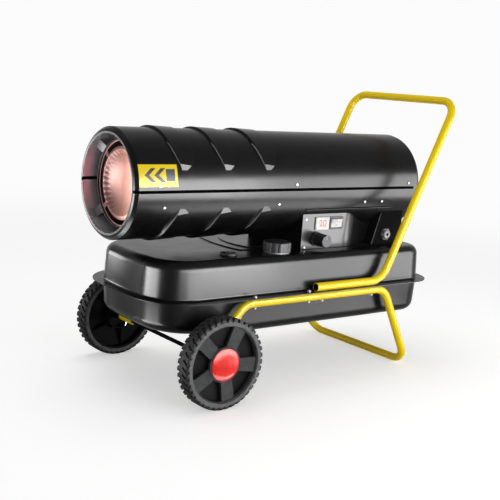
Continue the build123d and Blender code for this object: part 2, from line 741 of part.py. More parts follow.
# Filler: a short neck, a wire-mesh strainer cup, and a cap with a gripping
# outside that turns on its own core.
with BuildPart() as filler_neck:
    with BuildSketch(Plane.XY.offset(TANK_TOP_Z)):
        with Locations((CAP_X, CAP_Y)):
            Circle(NECK_FLANGE_R)
            Circle(FILLER_R - 2, mode=Mode.SUBTRACT)
    extrude(amount=2)
    with BuildSketch(Plane.XY.offset(TANK_TOP_Z - 14)):
        with Locations((CAP_X, CAP_Y)):
            Circle(FILLER_R)
            Circle(FILLER_R - 2, mode=Mode.SUBTRACT)
    extrude(amount=26)

with BuildPart() as filler_strainer:
    with BuildSketch(Plane.XY.offset(TANK_TOP_Z - 90)):
        with Locations((CAP_X, CAP_Y)):
            Circle(FILLER_R - 5)
    extrude(amount=84)
    with BuildSketch(Plane.XY.offset(TANK_TOP_Z - 88)):
        with Locations((CAP_X, CAP_Y)):
            Circle(FILLER_R - 6.2)
    extrude(amount=100, mode=Mode.SUBTRACT)
    with BuildSketch(Plane.XY.offset(TANK_TOP_Z - 8)):
        with Locations((CAP_X, CAP_Y)):
            Circle(FILLER_R - 2)
            Circle(FILLER_R - 6.2, mode=Mode.SUBTRACT)
    extrude(amount=2)

CAP_BASE_Z = TANK_TOP_Z + 2.5
with BuildPart() as fuel_cap:
    with BuildSketch(Plane.XY.offset(CAP_BASE_Z)):
        with Locations((CAP_X, CAP_Y)):
            Circle(CAP_R - 3)
            with PolarLocations(CAP_R - 13, 6, start_angle=10):
                Circle(13)
    extrude(amount=CAP_H)
    fillet(faces().sort_by(Axis.Z)[-1].edges(), radius=4)
    with Locations((CAP_X, CAP_Y, CAP_BASE_Z)):
        Cylinder(FILLER_R + 1.2, 18, align=(Align.CENTER, Align.CENTER, Align.MIN),
                 mode=Mode.SUBTRACT)
    # the core's pin turns in this hole
    with Locations((CAP_X, CAP_Y, CAP_BASE_Z)):
        Cylinder(6 + RUNNING_GAP, CAP_H - 5, align=(Align.CENTER, Align.CENTER, Align.MIN),
                 mode=Mode.SUBTRACT)

with BuildPart() as cap_core:
    with Locations((CAP_X, CAP_Y, CAP_BASE_Z)):
        Cylinder(FILLER_R - 2.6, 17.4, align=(Align.CENTER, Align.CENTER, Align.MIN))
        Cylinder(6, CAP_H - 6, align=(Align.CENTER, Align.CENTER, Align.MIN))
    with Locations((CAP_X, CAP_Y, CAP_BASE_Z - 1)):
        Cylinder(FILLER_R - 8, 12, align=(Align.CENTER, Align.CENTER, Align.MIN),
                 mode=Mode.SUBTRACT)

# Float gauge: a round housing with a window, and a float on a long arm.
with BuildPart() as fuel_gauge:
    with BuildSketch(Plane.XY.offset(TANK_TOP_Z)):
        with Locations((GAUGE_X, GAUGE_Y)):
            Circle(GAUGE_R)
    extrude(amount=5)
    fillet(faces().sort_by(Axis.Z)[-1].edges(), radius=2)
    with Locations((GAUGE_X, GAUGE_Y, TANK_TOP_Z - 12)):
        Cylinder(GAUGE_R - 5.2, 12, align=(Align.CENTER, Align.CENTER, Align.MIN))
    with Locations((GAUGE_X, GAUGE_Y, TANK_TOP_Z + 5)):
        Cylinder(GAUGE_R - 7, 2.4, mode=Mode.SUBTRACT)
    # two ears below the housing carry the float arm's pin
    for side in (-1, 1):
        with Locations((GAUGE_X, GAUGE_Y + side * 6, TANK_TOP_Z - 12)):
            Box(14, 3, 20, align=(Align.CENTER, Align.CENTER, Align.MAX))
    with BuildSketch(side_plane(GAUGE_Y)):
        with Locations((GAUGE_X, TANK_TOP_Z - 25)):
            Circle(2)
    extrude(amount=10, both=True)

with BuildPart() as gauge_window:
    with Locations((GAUGE_X, GAUGE_Y, TANK_TOP_Z + 3.8)):
        Cylinder(GAUGE_R - 7.1, 1.1, align=(Align.CENTER, Align.CENTER, Align.MIN))

FLOAT_ARM = 190.0
FLOAT_PIVOT_Z = TANK_TOP_Z - 25
FLOAT_DROP = 58.0          # degrees below level when the tank is empty
with BuildPart() as fuel_float:
    arm_plane = Plane(
        origin=(GAUGE_X, GAUGE_Y, FLOAT_PIVOT_Z),
        x_dir=(-cos(radians(FLOAT_DROP)), 0, -sin(radians(FLOAT_DROP))),
        z_dir=(0, 1, 0),
    )
    with BuildSketch(arm_plane):
        Circle(5)
        with Locations((FLOAT_ARM / 2, 0)):
            Rectangle(FLOAT_ARM, 3)
    extrude(amount=3, both=True)
    with BuildSketch(arm_plane):
        Circle(2 + RUNNING_GAP)
    extrude(amount=5, both=True, mode=Mode.SUBTRACT)
    with BuildSketch(arm_plane):
        with Locations((FLOAT_ARM, 0)):
            Circle(19)
    extrude(amount=26, both=True)
    fillet(edges().filter_by(GeomType.CIRCLE).group_by(SortBy.RADIUS)[-1], radius=6)

# ------------------------------------------------------------------ tubular frame
rail_route = [
    (AXLE_X, -TUBE_Y, AXLE_Z),
    (RAIL_FRONT_X, -TUBE_Y, RAIL_Z),
    (RAIL_REAR_X, -TUBE_Y, RAIL_Z),
    (FOOT_X, -TUBE_Y, TUBE_R),
    (FOOT_X, TUBE_Y, TUBE_R),
    (RAIL_REAR_X, TUBE_Y, RAIL_Z),
    (RAIL_FRONT_X, TUBE_Y, RAIL_Z),
    (AXLE_X, TUBE_Y, AXLE_Z),
]
SLEEVE_R = 11.0
SLEEVE_END_Y = TUBE_Y - 52.0
leg_direction = Vector(*rail_route[1]) - Vector(*rail_route[0])
with BuildPart() as frame_rail:
    with BuildLine():
        FilletPolyline(*rail_route, radius=[60, 62, 58, 58, 62, 60])
    with BuildSketch(Plane(origin=rail_route[0], z_dir=leg_direction)):
        Circle(TUBE_R)
        Circle(TUBE_R - TUBE_WALL, mode=Mode.SUBTRACT)
    sweep()
    # each end is welded to a short sleeve that holds the axle
    for side in (-1, 1):
        with BuildSketch(side_plane(side * SLEEVE_END_Y)):
            with Locations((AXLE_X, AXLE_Z)):
                Circle(SLEEVE_R)
        extrude(amount=-side * (TUBE_Y + TUBE_R + 3 - SLEEVE_END_Y))
    with BuildSketch(side_plane(0)):
        with Locations((AXLE_X, AXLE_Z)):
            Circle(AXLE_R + 0.3)
    extrude(amount=TUBE_Y + 40, both=True, mode=Mode.SUBTRACT)
    with Locations([(AXLE_X, side * (TUBE_Y - 22), AXLE_Z) for side in (-1, 1)]):
        Cylinder(1.9, 60, rotation=(0, 24, 0), mode=Mode.SUBTRACT)
    with Locations([(x, side * TUBE_Y, RAIL_Z) for x in BOLT_X for side in (-1, 1)]):
        Cylinder(BOLT_R + 0.1, 40, mode=Mode.SUBTRACT)

handle_route = [
    (HANDLE_FRONT_X, -TUBE_Y, HANDLE_RUN_Z),
    (HANDLE_BEND_X, -TUBE_Y, HANDLE_RUN_Z),
    (HANDLE_TOP_X, -TUBE_Y, HANDLE_TOP_Z),
    (HANDLE_TOP_X, TUBE_Y, HANDLE_TOP_Z),
    (HANDLE_BEND_X, TUBE_Y, HANDLE_RUN_Z),
    (HANDLE_FRONT_X, TUBE_Y, HANDLE_RUN_Z),
]
with BuildPart() as handle:
    with BuildLine():
        FilletPolyline(*handle_route, radius=[72, 56, 56, 72])
    with BuildSketch(Plane(origin=handle_route[0], z_dir=(1, 0, 0))):
        Circle(TUBE_R)
        Circle(TUBE_R - TUBE_WALL, mode=Mode.SUBTRACT)
    sweep()
    with Locations([(x, side * TUBE_Y, HANDLE_RUN_Z - TUBE_R) for x in HANDLE_BOLT_X
                    for side in (-1, 1)]):
        Cylinder(4.6, 10, mode=Mode.SUBTRACT)

# Threaded inserts sit in the handle's lower wall.
with BuildPart() as handle_inserts:
    for x in HANDLE_BOLT_X:
        for side in (-1, 1):
            with Locations((x, side * TUBE_Y, HANDLE_RUN_Z - TUBE_R - 0.2 + 1)):
                Cylinder(4.5, 8, align=(Align.CENTER, Align.CENTER, Align.MIN))
    with Locations([(x, side * TUBE_Y, HANDLE_RUN_Z) for x in HANDLE_BOLT_X for side in (-1, 1)]):
        Cylinder(BOLT_R + 0.05, 60, mode=Mode.SUBTRACT)

# Hexagon bolts come up through the rail and the tank's flange.
with BuildPart() as frame_bolts:
    for x in BOLT_X:
        length = 34.0 if x in HANDLE_BOLT_X else 33.0
        for side in (-1, 1):
            with Locations((x, side * TUBE_Y, RAIL_Z - TUBE_R + 0.4)):
                Cylinder(BOLT_R, length, align=(Align.CENTER, Align.CENTER, Align.MIN))
            with BuildSketch(Plane.XY.offset(RAIL_Z - TUBE_R - 0.2)):
                with Locations((x, side * TUBE_Y)):
                    RegularPolygon(radius=5.8, side_count=6)
            extrude(amount=-4.5)
            with BuildSketch(Plane.XY.offset(RAIL_Z - TUBE_R + 0.5)):
                with Locations((x, side * TUBE_Y)):
                    Circle(3.0)
            extrude(amount=-2)
            if x not in HANDLE_BOLT_X:
                with BuildSketch(Plane.XY.offset(TANK_SEAM_Z + SHEET)):
                    with Locations((x, side * TUBE_Y)):
                        RegularPolygon(radius=5.8, side_count=6)
                extrude(amount=5)

# ------------------------------------------------------------------ axle and wheels
AXLE_END_Y = WHEEL_OUTER_Y - 11.0
with BuildPart() as axle:
    with BuildSketch(side_plane(0)):
        with Locations((AXLE_X, AXLE_Z)):
            Circle(AXLE_R)
    extrude(amount=AXLE_END_Y, both=True)
    with Locations([(AXLE_X, side * (TUBE_Y - 22), AXLE_Z) for side in (-1, 1)]):
        Cylinder(1.8, 60, rotation=(0, 24, 0), mode=Mode.SUBTRACT)

with BuildPart() as cotter_pins:
    with Locations([(AXLE_X, side * (TUBE_Y - 22), AXLE_Z) for side in (-1, 1)]):
        Cylinder(1.75, 44, rotation=(0, 24, 0))

# Push-on nuts keep the wheels on the axle, inside the hub caps.
with BuildPart() as axle_nuts:
    for side in (-1, 1):
        with BuildSketch(side_plane(side * (WHEEL_OUTER_Y - 16))):
            with Locations((AXLE_X, AXLE_Z)):
                Circle(11)
                Circle(AXLE_R, mode=Mode.SUBTRACT)
        extrude(amount=-side * 4)

HUB_R = 24.0
HUB_CUP_R = 40.0
WHEEL_MID_Y = (WHEEL_INNER_Y + WHEEL_OUTER_Y) / 2
RIM_R = TYRE_INNER_R
SPOKE_ANGLES = [65 + 72 * i for i in range(5)]
with BuildPart() as wheel_left:
    # rim, hub cup and bearing boss are one revolved moulding
    with BuildSketch(axle_plane):
        with BuildLine():
            Polyline(
                (-WHEEL_INNER_Y - 4, RIM_R), (-WHEEL_OUTER_Y + 4, RIM_R),
                (-WHEEL_OUTER_Y + 4, RIM_R - 3.5), (-WHEEL_INNER_Y - 4, RIM_R - 5.5), close=True,
            )
        make_face()
        with BuildLine():
            Polyline(
                (-WHEEL_OUTER_Y + 4, 50), (-WHEEL_OUTER_Y + 4, 45.5), (-WHEEL_OUTER_Y + 10, 45.5),
                (-WHEEL_OUTER_Y + 10, 34), (-WHEEL_OUTER_Y + 17, 34),
                (-WHEEL_OUTER_Y + 17, AXLE_R + RUNNING_GAP), (-WHEEL_INNER_Y + 9, AXLE_R + RUNNING_GAP),
                (-WHEEL_INNER_Y + 9, 13), (-WHEEL_INNER_Y - 18, 13), (-WHEEL_INNER_Y - 18, 38),
                (-WHEEL_INNER_Y + 2, 38), (-WHEEL_INNER_Y + 2, 42), (-WHEEL_INNER_Y - 14, 42),
                (-WHEEL_OUTER_Y + 12, 50), close=True,
            )
        make_face()
    revolve(axis=axle_axis)
    # a thin web closes the wheel between the spokes
    with BuildSketch(side_plane(-WHEEL_MID_Y)):
        with Locations((AXLE_X, AXLE_Z)):
            Circle(RIM_R - 4)
            Circle(40, mode=Mode.SUBTRACT)
    extrude(amount=3)
    # five wide box spokes stand proud of the web on the outer side
    for angle in SPOKE_ANGLES:
        with BuildSketch(side_plane(-WHEEL_MID_Y)):
            with Locations(Location((AXLE_X, AXLE_Z), angle)):
                Polygon((49, -18), (RIM_R - 4, -21), (RIM_R - 4, 21), (49, 18), align=None)
        extrude(amount=WHEEL_OUTER_Y - 7 - WHEEL_MID_Y)
    # thin gussets stiffen the inner side
    for angle in SPOKE_ANGLES:
        gusset = Plane(
            origin=(AXLE_X, 0, AXLE_Z),
            x_dir=(0, 1, 0),
            z_dir=(sin(radians(angle)), 0, -cos(radians(angle))),
        )
        with BuildSketch(gusset):
            with BuildLine():
                Polyline((-WHEEL_MID_Y, 41), (-WHEEL_INNER_Y - 2, 41), (-WHEEL_MID_Y + 4, RIM_R - 5),
                         (-WHEEL_MID_Y, RIM_R - 5), close=True)
            make_face()
        extrude(amount=1.5, both=True)

LUG_COUNT = 40
LUG_DEPTH = 5.0
NOTCH_R = 125.5
NOTCH_DEPTH = 6.0
with BuildPart() as tyre_left:
    with BuildSketch(axle_plane):
        with BuildLine():
            FilletPolyline(
                (-WHEEL_INNER_Y, RIM_R), (-WHEEL_INNER_Y, WHEEL_R), (-WHEEL_OUTER_Y, WHEEL_R),
                (-WHEEL_OUTER_Y, RIM_R), radius=6,
            )
            Line((-WHEEL_OUTER_Y, RIM_R), (-WHEEL_INNER_Y, RIM_R))
        make_face()
    revolve(axis=axle_axis)
    # slanting grooves leave chevron lugs on both shoulders
    for i in range(LUG_COUNT):
        angle = 360 / LUG_COUNT * i
        for side in (-1, 1):
            shoulder = angle + (0 if side < 0 else 180 / LUG_COUNT)
            outward = Plane(
                origin=(AXLE_X + WHEEL_R * sin(radians(shoulder)), -WHEEL_MID_Y + side * 15,
                        AXLE_Z + WHEEL_R * cos(radians(shoulder))),
                x_dir=(0, 1, 0),
                z_dir=(sin(radians(shoulder)), 0, cos(radians(shoulder))),
            )
            with BuildSketch(outward):
                Rectangle(26, 7, rotation=side * 28)
            extrude(amount=-LUG_DEPTH, mode=Mode.SUBTRACT)
    # each groove ends in a notch in the shoulder
    for face_y, inwards, start in ((-WHEEL_OUTER_Y, -1, 2.3), (-WHEEL_INNER_Y, 1, 6.8)):
        with BuildSketch(side_plane(face_y)):
            with Locations((AXLE_X, AXLE_Z)):
                with PolarLocations(NOTCH_R, LUG_COUNT, start_angle=start):
                    Rectangle(14, 7.5)
        extrude(amount=inwards * NOTCH_DEPTH, mode=Mode.SUBTRACT)

with BuildPart() as hub_cap_left:
    with BuildSketch(axle_plane):
        with BuildLine():
            Spline(
                (-WHEEL_OUTER_Y + 2, HUB_CAP_R), (-WHEEL_OUTER_Y - 2, 36),
                (-WHEEL_OUTER_Y - 4.4, 18), (-WHEEL_OUTER_Y - 5, 0),
                tangents=((-0.6, -1), (0, -1)),
            )
            Polyline(
                (-WHEEL_OUTER_Y - 5, 0), (-WHEEL_OUTER_Y - 2, 0), (-WHEEL_OUTER_Y - 1, 20),
                (-WHEEL_OUTER_Y + 2, 36), (-WHEEL_OUTER_Y + 5, HUB_CAP_R - 3),
                (-WHEEL_OUTER_Y + 10, HUB_CAP_R - 3), (-WHEEL_OUTER_Y + 10, HUB_CAP_R),
                (-WHEEL_OUTER_Y + 2, HUB_CAP_R),
            )
        make_face()
    revolve(axis=axle_axis)

with BuildPart() as wheel_right:
    mirror(wheel_left.part, about=Plane.XZ)
with BuildPart() as tyre_right:
    mirror(tyre_left.part, about=Plane.XZ)
with BuildPart() as hub_cap_right:
    mirror(hub_cap_left.part, about=Plane.XZ)

# ------------------------------------------------------------------ base box
# A folded sheet box stands on the tank and carries the barrel. Its upper edges
# follow the round shell.
with BuildPart() as base_box:
    with Locations(((BOX_FRONT_X + BOX_REAR_X) / 2, 0, TANK_TOP_Z)):
        Box(BOX_REAR_X - BOX_FRONT_X, 2 * BOX_HALF_W, BOX_TOP_Z - TANK_TOP_Z,
            align=(Align.CENTER, Align.CENTER, Align.MIN))
        Box(BOX_REAR_X - BOX_FRONT_X - 2 * SHEET, 2 * (BOX_HALF_W - SHEET),
            BOX_TOP_Z - TANK_TOP_Z - SHEET + 1, align=(Align.CENTER, Align.CENTER, Align.MIN),
            mode=Mode.SUBTRACT)
        Box(BOX_REAR_X - BOX_FRONT_X, 2 * BOX_HALF_W, SHEET,
            align=(Align.CENTER, Align.CENTER, Align.MIN))
    # the control side is open where the panel and the side plate go
    with Locations((BOX_FRONT_X + 12, -BOX_HALF_W, TANK_TOP_Z + SHEET)):
        Box(BOX_REAR_X - BOX_FRONT_X - 24, 4 * SHEET, 200,
            align=(Align.MIN, Align.CENTER, Align.MIN), mode=Mode.SUBTRACT)
    # a recessed wall closes the gap between them
    with Locations((PANEL_END_X + 2, -BOX_HALF_W + 36, TANK_TOP_Z + SHEET)):
        Box(BOX_REAR_X - 60 - PANEL_END_X - 2, SHEET, BOX_TOP_Z - TANK_TOP_Z - SHEET,
            align=(Align.MIN, Align.CENTER, Align.MIN))
    with BuildSketch(across(-600)):
        Circle(BARREL_R + 0.1)
    extrude(amount=1300, mode=Mode.SUBTRACT)

with BuildPart() as control_panel:
    with BuildSketch(Plane.XY.offset(TANK_TOP_Z + SHEET)):
        with BuildLine() as fold:
            FilletPolyline(
                (BOX_FRONT_X, PANEL_Y + SHEET / 2),
                (PANEL_FLAT_X, PANEL_Y + SHEET / 2),
                (PANEL_END_X, -BOX_HALF_W + 34),
                radius=PANEL_BEND_R,
            )
        trace(fold.line, line_width=SHEET)
    extrude(amount=BOX_TOP_Z - TANK_TOP_Z - SHEET)
    with BuildSketch(side_plane(PANEL_Y - 5)):
        with Locations((DISPLAY_X, WINDOW_Z), (ROCKER_X, WINDOW_Z)):
            Rectangle(WINDOW_W - 6, WINDOW_H - 6)
        with Locations((KNOB_X, KNOB_Z)):
            Circle(6)
    extrude(amount=-10, mode=Mode.SUBTRACT)
    with BuildSketch(across(-600)):
        Circle(BARREL_R + 0.1)
    extrude(amount=1300, mode=Mode.SUBTRACT)

with BuildPart() as panel_screws:
    with BuildSketch(side_plane(PANEL_Y)):
        with Locations((BOX_FRONT_X + 14, 482), (BOX_FRONT_X + 14, 396)):
            Circle(3.2)
    extrude(amount=1.8)
    fillet(faces().filter_by(Axis.Y).sort_by(Axis.Y)[:2].edges(), radius=0.8)

# The side plate behind the recess has a slanted front edge with a fold.
SLANT_LOW_X, SLANT_HIGH_X = 333.0, 368.0
with BuildPart() as rear_side_plate:
    with BuildSketch(side_plane(-BOX_HALF_W)):
        with BuildLine():
            Polyline(
                (SLANT_LOW_X, TANK_TOP_Z + SHEET), (BOX_REAR_X, TANK_TOP_Z + SHEET),
                (BOX_REAR_X, BOX_TOP_Z), (SLANT_HIGH_X, BOX_TOP_Z), close=True,
            )
        make_face()
    extrude(amount=SHEET)
    slant = Vector(SLANT_HIGH_X - SLANT_LOW_X, 0, BOX_TOP_Z - TANK_TOP_Z - SHEET)
    with BuildSketch(Plane(origin=(SLANT_LOW_X, -BOX_HALF_W - SHEET, TANK_TOP_Z + SHEET),
                           x_dir=(0, 1, 0), z_dir=slant)):
        Rectangle(35, 1.8, align=(Align.MIN, Align.MAX))
    extrude(amount=slant.length)
    # trim the fold level with the plate, and round the shell
    with Locations((SLANT_HIGH_X, -BOX_HALF_W, BOX_TOP_Z)):
        Box(200, 200, 40, align=(Align.CENTER, Align.CENTER, Align.MIN), mode=Mode.SUBTRACT)
    with Locations((SLANT_LOW_X, -BOX_HALF_W, TANK_TOP_Z + SHEET)):
        Box(200, 200, 40, align=(Align.CENTER, Align.CENTER, Align.MAX), mode=Mode.SUBTRACT)
    with BuildSketch(across(-600)):
        Circle(BARREL_R + 0.1)
    extrude(amount=1300, mode=Mode.SUBTRACT)
    with BuildSketch(side_plane(-BOX_HALF_W - 10)):
        with Locations((GLAND_X, GLAND_Z)):
            Circle(11)
    extrude(amount=-20, mode=Mode.SUBTRACT)

# Gland for the supply cord.
GLAND_BORE_R = 4.5
GLAND_OUT = 14.0
with BuildPart() as cable_gland:
    with BuildSketch(side_plane(-BOX_HALF_W - SHEET)):
        with Locations((GLAND_X, GLAND_Z)):
            RegularPolygon(radius=17, side_count=6, major_radius=False)
    extrude(amount=8)
    with BuildSketch(side_plane(-BOX_HALF_W - SHEET - 8)):
        with Locations((GLAND_X, GLAND_Z)):
            Circle(15.5)
    extrude(amount=GLAND_OUT - 8)
    fillet(faces().sort_by(Axis.Y)[0].edges(), radius=4)
    with BuildSketch(side_plane(-BOX_HALF_W - SHEET)):
        with Locations((GLAND_X, GLAND_Z)):
            Circle(10.9)
    extrude(amount=-12)
    with BuildSketch(side_plane(-BOX_HALF_W)):
        with Locations((GLAND_X, GLAND_Z)):
            RegularPolygon(radius=15, side_count=6, major_radius=False)
    extrude(amount=-6)
    with BuildSketch(side_plane(-BOX_HALF_W - 60)):
        with Locations((GLAND_X, GLAND_Z)):
            Circle(GLAND_BORE_R)
    extrude(amount=-100, mode=Mode.SUBTRACT)

# ------------------------------------------------------------------ controls
with BuildPart() as display_window:
    with BuildSketch(side_plane(PANEL_Y)):
        with Locations((DISPLAY_X, WINDOW_Z)):
            Rectangle(WINDOW_W, WINDOW_H)
    extrude(amount=5)
    fillet(faces().sort_by(Axis.Y)[0].edges(), radius=1)
    with BuildSketch(side_plane(PANEL_Y)):
        with Locations((DISPLAY_X, WINDOW_Z)):
            Rectangle(WINDOW_W - 7, WINDOW_H - 7)
    extrude(amount=-WINDOW_DEPTH)

ROCKER_PIVOT_Y = PANEL_Y - 1.5
with BuildPart() as rocker_frame:
    with BuildSketch(side_plane(PANEL_Y)):
        with Locations((ROCKER_X, WINDOW_Z)):
            Rectangle(WINDOW_W, WINDOW_H)
    extrude(amount=4)
    with BuildSketch(side_plane(PANEL_Y)):
        with Locations((ROCKER_X, WINDOW_Z)):
            Rectangle(WINDOW_W - 7, WINDOW_H - 7)
    extrude(amount=-WINDOW_DEPTH)
    with BuildSketch(side_plane(PANEL_Y - 10)):
        with Locations((ROCKER_X, WINDOW_Z)):
            Rectangle(WINDOW_W - 10, WINDOW_H - 10)
    extrude(amount=-10 - WINDOW_DEPTH + 1, mode=Mode.SUBTRACT)
    # the pivot pin of the rocker runs along X
    with BuildSketch(Plane(origin=(ROCKER_X, ROCKER_PIVOT_Y, WINDOW_Z), z_dir=(1, 0, 0))):
        Circle(1.5)
    extrude(amount=WINDOW_W / 2 - 4, both=True)

# It is off at rest: its upper end stands out. It tips the other way to switch on.
ROCKER_TILT = 7.0          # degrees
with BuildPart() as power_rocker:
    with BuildSketch(Plane(origin=(ROCKER_X, ROCKER_PIVOT_Y, WINDOW_Z),
                           x_dir=(0, cos(radians(ROCKER_TILT)), sin(radians(ROCKER_TILT))),
                           z_dir=(1, 0, 0))):
        with BuildLine():
            Polyline(
                (4.5, -6), (4.5, 6), (-1.5, 13.4), (-5.3, 12.8), (-3.6, 0), (-5.3, -12.8),
                (-1.5, -13.4), close=True,
            )
        make_face()
        Circle(1.5 + RUNNING_GAP, mode=Mode.SUBTRACT)
    extrude(amount=(WINDOW_W - 10) / 2 - 0.6, both=True)

with BuildPart() as thermostat:
    with BuildSketch(side_plane(PANEL_Y + SHEET)):
        with Locations((KNOB_X, KNOB_Z)):
            Rectangle(26, 26)
    extrude(amount=-16)
    with BuildSketch(side_plane(PANEL_Y + SHEET)):
        with Locations((KNOB_X, KNOB_Z)):
            Circle(3)
    extrude(amount=KNOB_LENGTH - 14)

with BuildPart() as thermostat_knob:
    with BuildSketch(side_plane(PANEL_Y - 0.5)):
        with Locations((KNOB_X, KNOB_Z)):
            Circle(KNOB_R + 1.5)
    extrude(amount=7)
    with BuildSketch(side_plane(PANEL_Y - 7.5)):
        with Locations((KNOB_X, KNOB_Z)):
            Circle(KNOB_R - 1.5)
            with PolarLocations(KNOB_R - 6, 8):
                Circle(6)
    extrude(amount=KNOB_LENGTH - 7, taper=2)
    fillet(faces().sort_by(Axis.Y)[0].edges(), radius=1)
    with BuildSketch(side_plane(PANEL_Y)):
        with Locations((KNOB_X, KNOB_Z)):
            Circle(3 + RUNNING_GAP)
    extrude(amount=KNOB_LENGTH - 12, mode=Mode.SUBTRACT)
    # pointer groove on the face
    with Locations((KNOB_X, PANEL_Y - KNOB_LENGTH - 0.5, KNOB_Z + 11)):
        Box(2.4, 2, 12, mode=Mode.SUBTRACT)

BOARD_Y = -109.0
with BuildPart() as circuit_board:
    with Locations(((BOX_FRONT_X + PANEL_END_X) / 2 + 4, BOARD_Y, TANK_TOP_Z + 14)):
        Box(160, 1.6, 60, align=(Align.CENTER, Align.CENTER, Align.MIN))
    with Locations((100, BOARD_Y + 0.8, TANK_TOP_Z + 34), (150, BOARD_Y + 0.8, TANK_TOP_Z + 38)):
        Box(22, 16, 20, align=(Align.CENTER, Align.MIN, Align.CENTER))
    for x in (72, 216):
        with Locations((x, BOARD_Y, TANK_TOP_Z + SHEET)):
            Box(10, 8, 16, align=(Align.CENTER, Align.CENTER, Align.MIN))

with BuildPart() as ignition_transformer:
    with Locations((330, 30, TANK_TOP_Z + SHEET)):
        Box(84, 60, 34, align=(Align.CENTER, Align.CENTER, Align.MIN))
    fillet(edges().filter_by(Axis.Z), radius=4)

with BuildPart() as fuel_filter:
    with Locations((170, 70, TANK_TOP_Z + SHEET)):
        Cylinder(16, 30, align=(Align.CENTER, Align.CENTER, Align.MIN))
    with Locations((170, 70, TANK_TOP_Z + SHEET + 30)):
        Cylinder(5, 4, align=(Align.CENTER, Align.CENTER, Align.MIN))

# ------------------------------------------------------------------ write the pieces
pieces = {
    "upper_shell": upper_shell,
    "lower_shell": lower_shell,
    "seam_seals": seam_seals,
    "shell_screws": shell_screws,
    "combustion_chamber": combustion_chamber,
    "flame_baffle": flame_baffle,
    "chamber_brackets": chamber_brackets,
    "burner_head": burner_head,
    "fuel_nozzle": fuel_nozzle,
    "spark_plug": spark_plug,
    "flame_sensor": flame_sensor,
    "motor_shaft": motor_shaft,
    "fan": fan,
    "motor": motor,
    "motor_clamp": motor_clamp,
    "motor_struts": motor_struts,
    "pump_housing": pump_housing,
    "pump_rotor": pump_rotor,
    "pump_end_cover": pump_end_cover,
    "air_filter": air_filter,
    "pressure_gauge": pressure_gauge,
    "rear_guard": rear_guard,
    "tank_upper": tank_upper,
    "tank_lower": tank_lower,
    "drain_plug": drain_plug,
    "filler_neck": filler_neck,
    "filler_strainer": filler_strainer,
    "fuel_cap": fuel_cap,
    "cap_core": cap_core,
    "fuel_gauge": fuel_gauge,
    "gauge_window": gauge_window,
    "fuel_float": fuel_float,
    "frame_rail": frame_rail,
    "handle": handle,
    "handle_inserts": handle_inserts,
    "frame_bolts": frame_bolts,
    "axle": axle,
    "cotter_pins": cotter_pins,
    "axle_nuts": axle_nuts,
    "wheel_left": wheel_left,
    "wheel_right": wheel_right,
    "tyre_left": tyre_left,
    "tyre_right": tyre_right,
    "hub_cap_left": hub_cap_left,
    "hub_cap_right": hub_cap_right,
    "base_box": base_box,
    "control_panel": control_panel,
    "panel_screws": panel_screws,
    "rear_side_plate": rear_side_plate,
    "cable_gland": cable_gland,
    "display_window": display_window,
    "rocker_frame": rocker_frame,
    "power_rocker": power_rocker,
    "thermostat": thermostat,
    "thermostat_knob": thermostat_knob,
    "circuit_board": circuit_board,
    "ignition_transformer": ignition_transformer,
    "fuel_filter": fuel_filter,
}
for name, piece in pieces.items():
    piece.part.label = name
    export_step(piece.part, f"parts/{name}.step")
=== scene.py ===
# %% [markdown]
# # A forced air heater, dressed for its portrait
# This lesson starts from a finished set of solids and gives each of them the
# surface of the real thing: satin black enamel, yellow tube, moulded wheels and
# a hot steel mouth. The solids come in first, because every added piece is
# placed from their sizes.

import math

import bpy
from mathutils import Matrix, Vector


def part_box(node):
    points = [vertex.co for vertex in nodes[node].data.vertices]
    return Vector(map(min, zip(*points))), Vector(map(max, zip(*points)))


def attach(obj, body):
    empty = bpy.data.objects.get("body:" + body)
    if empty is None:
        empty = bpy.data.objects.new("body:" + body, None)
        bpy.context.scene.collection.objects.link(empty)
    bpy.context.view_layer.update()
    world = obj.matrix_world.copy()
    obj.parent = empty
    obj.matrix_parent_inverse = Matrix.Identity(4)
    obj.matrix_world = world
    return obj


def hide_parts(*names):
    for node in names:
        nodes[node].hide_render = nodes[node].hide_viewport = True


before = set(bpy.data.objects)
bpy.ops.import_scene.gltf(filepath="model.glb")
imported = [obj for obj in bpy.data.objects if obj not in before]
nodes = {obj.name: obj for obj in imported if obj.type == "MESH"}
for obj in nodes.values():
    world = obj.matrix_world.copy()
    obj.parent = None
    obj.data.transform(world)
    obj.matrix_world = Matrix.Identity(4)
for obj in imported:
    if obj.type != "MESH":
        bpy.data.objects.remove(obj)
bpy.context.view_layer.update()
print("solids:", len(nodes))

# %% [markdown]
# ## Shared measurements
# The barrel lies along X at one height, and almost everything round refers to
# its axis. Lengths are in metres here.

# %% Measurements
BARREL_AXIS_Z = 0.582
BARREL_R = 0.155
OUTLET_X = -0.572
BAFFLE_X = -0.527
BAFFLE_R = 0.1195
AXLE_X, AXLE_Z = -0.356, 0.128
print("the barrel runs from", OUTLET_X, "and its axis is", BARREL_AXIS_Z, "above the floor")

# %% [markdown]
# ## Small helpers for the editor
# Blender's operators act on whatever is selected, so one helper clears the
# selection and makes a single object active, and the others pick what to shape.


# %% Selection helpers
def take(obj):
    """Selects one object and makes it the active one."""
    if bpy.context.mode != "OBJECT":
        bpy.ops.object.mode_set(mode="OBJECT")
    bpy.ops.object.select_all(action="DESELECT")
    obj.select_set(True)
    bpy.context.view_layer.objects.active = obj
    return obj


take(nodes["upper_shell"])

# %% [markdown]
# ## Camera
# The photograph was taken from the control side, towards the outlet and a little
# above the barrel, with the horizon tilted by four degrees. The lens is a short
# telephoto. A constraint could aim a camera, but a tilt and an exact place are
# easier to give as one matrix. Its columns are the camera's right, its up, the
# way back from what it sees, and its place.

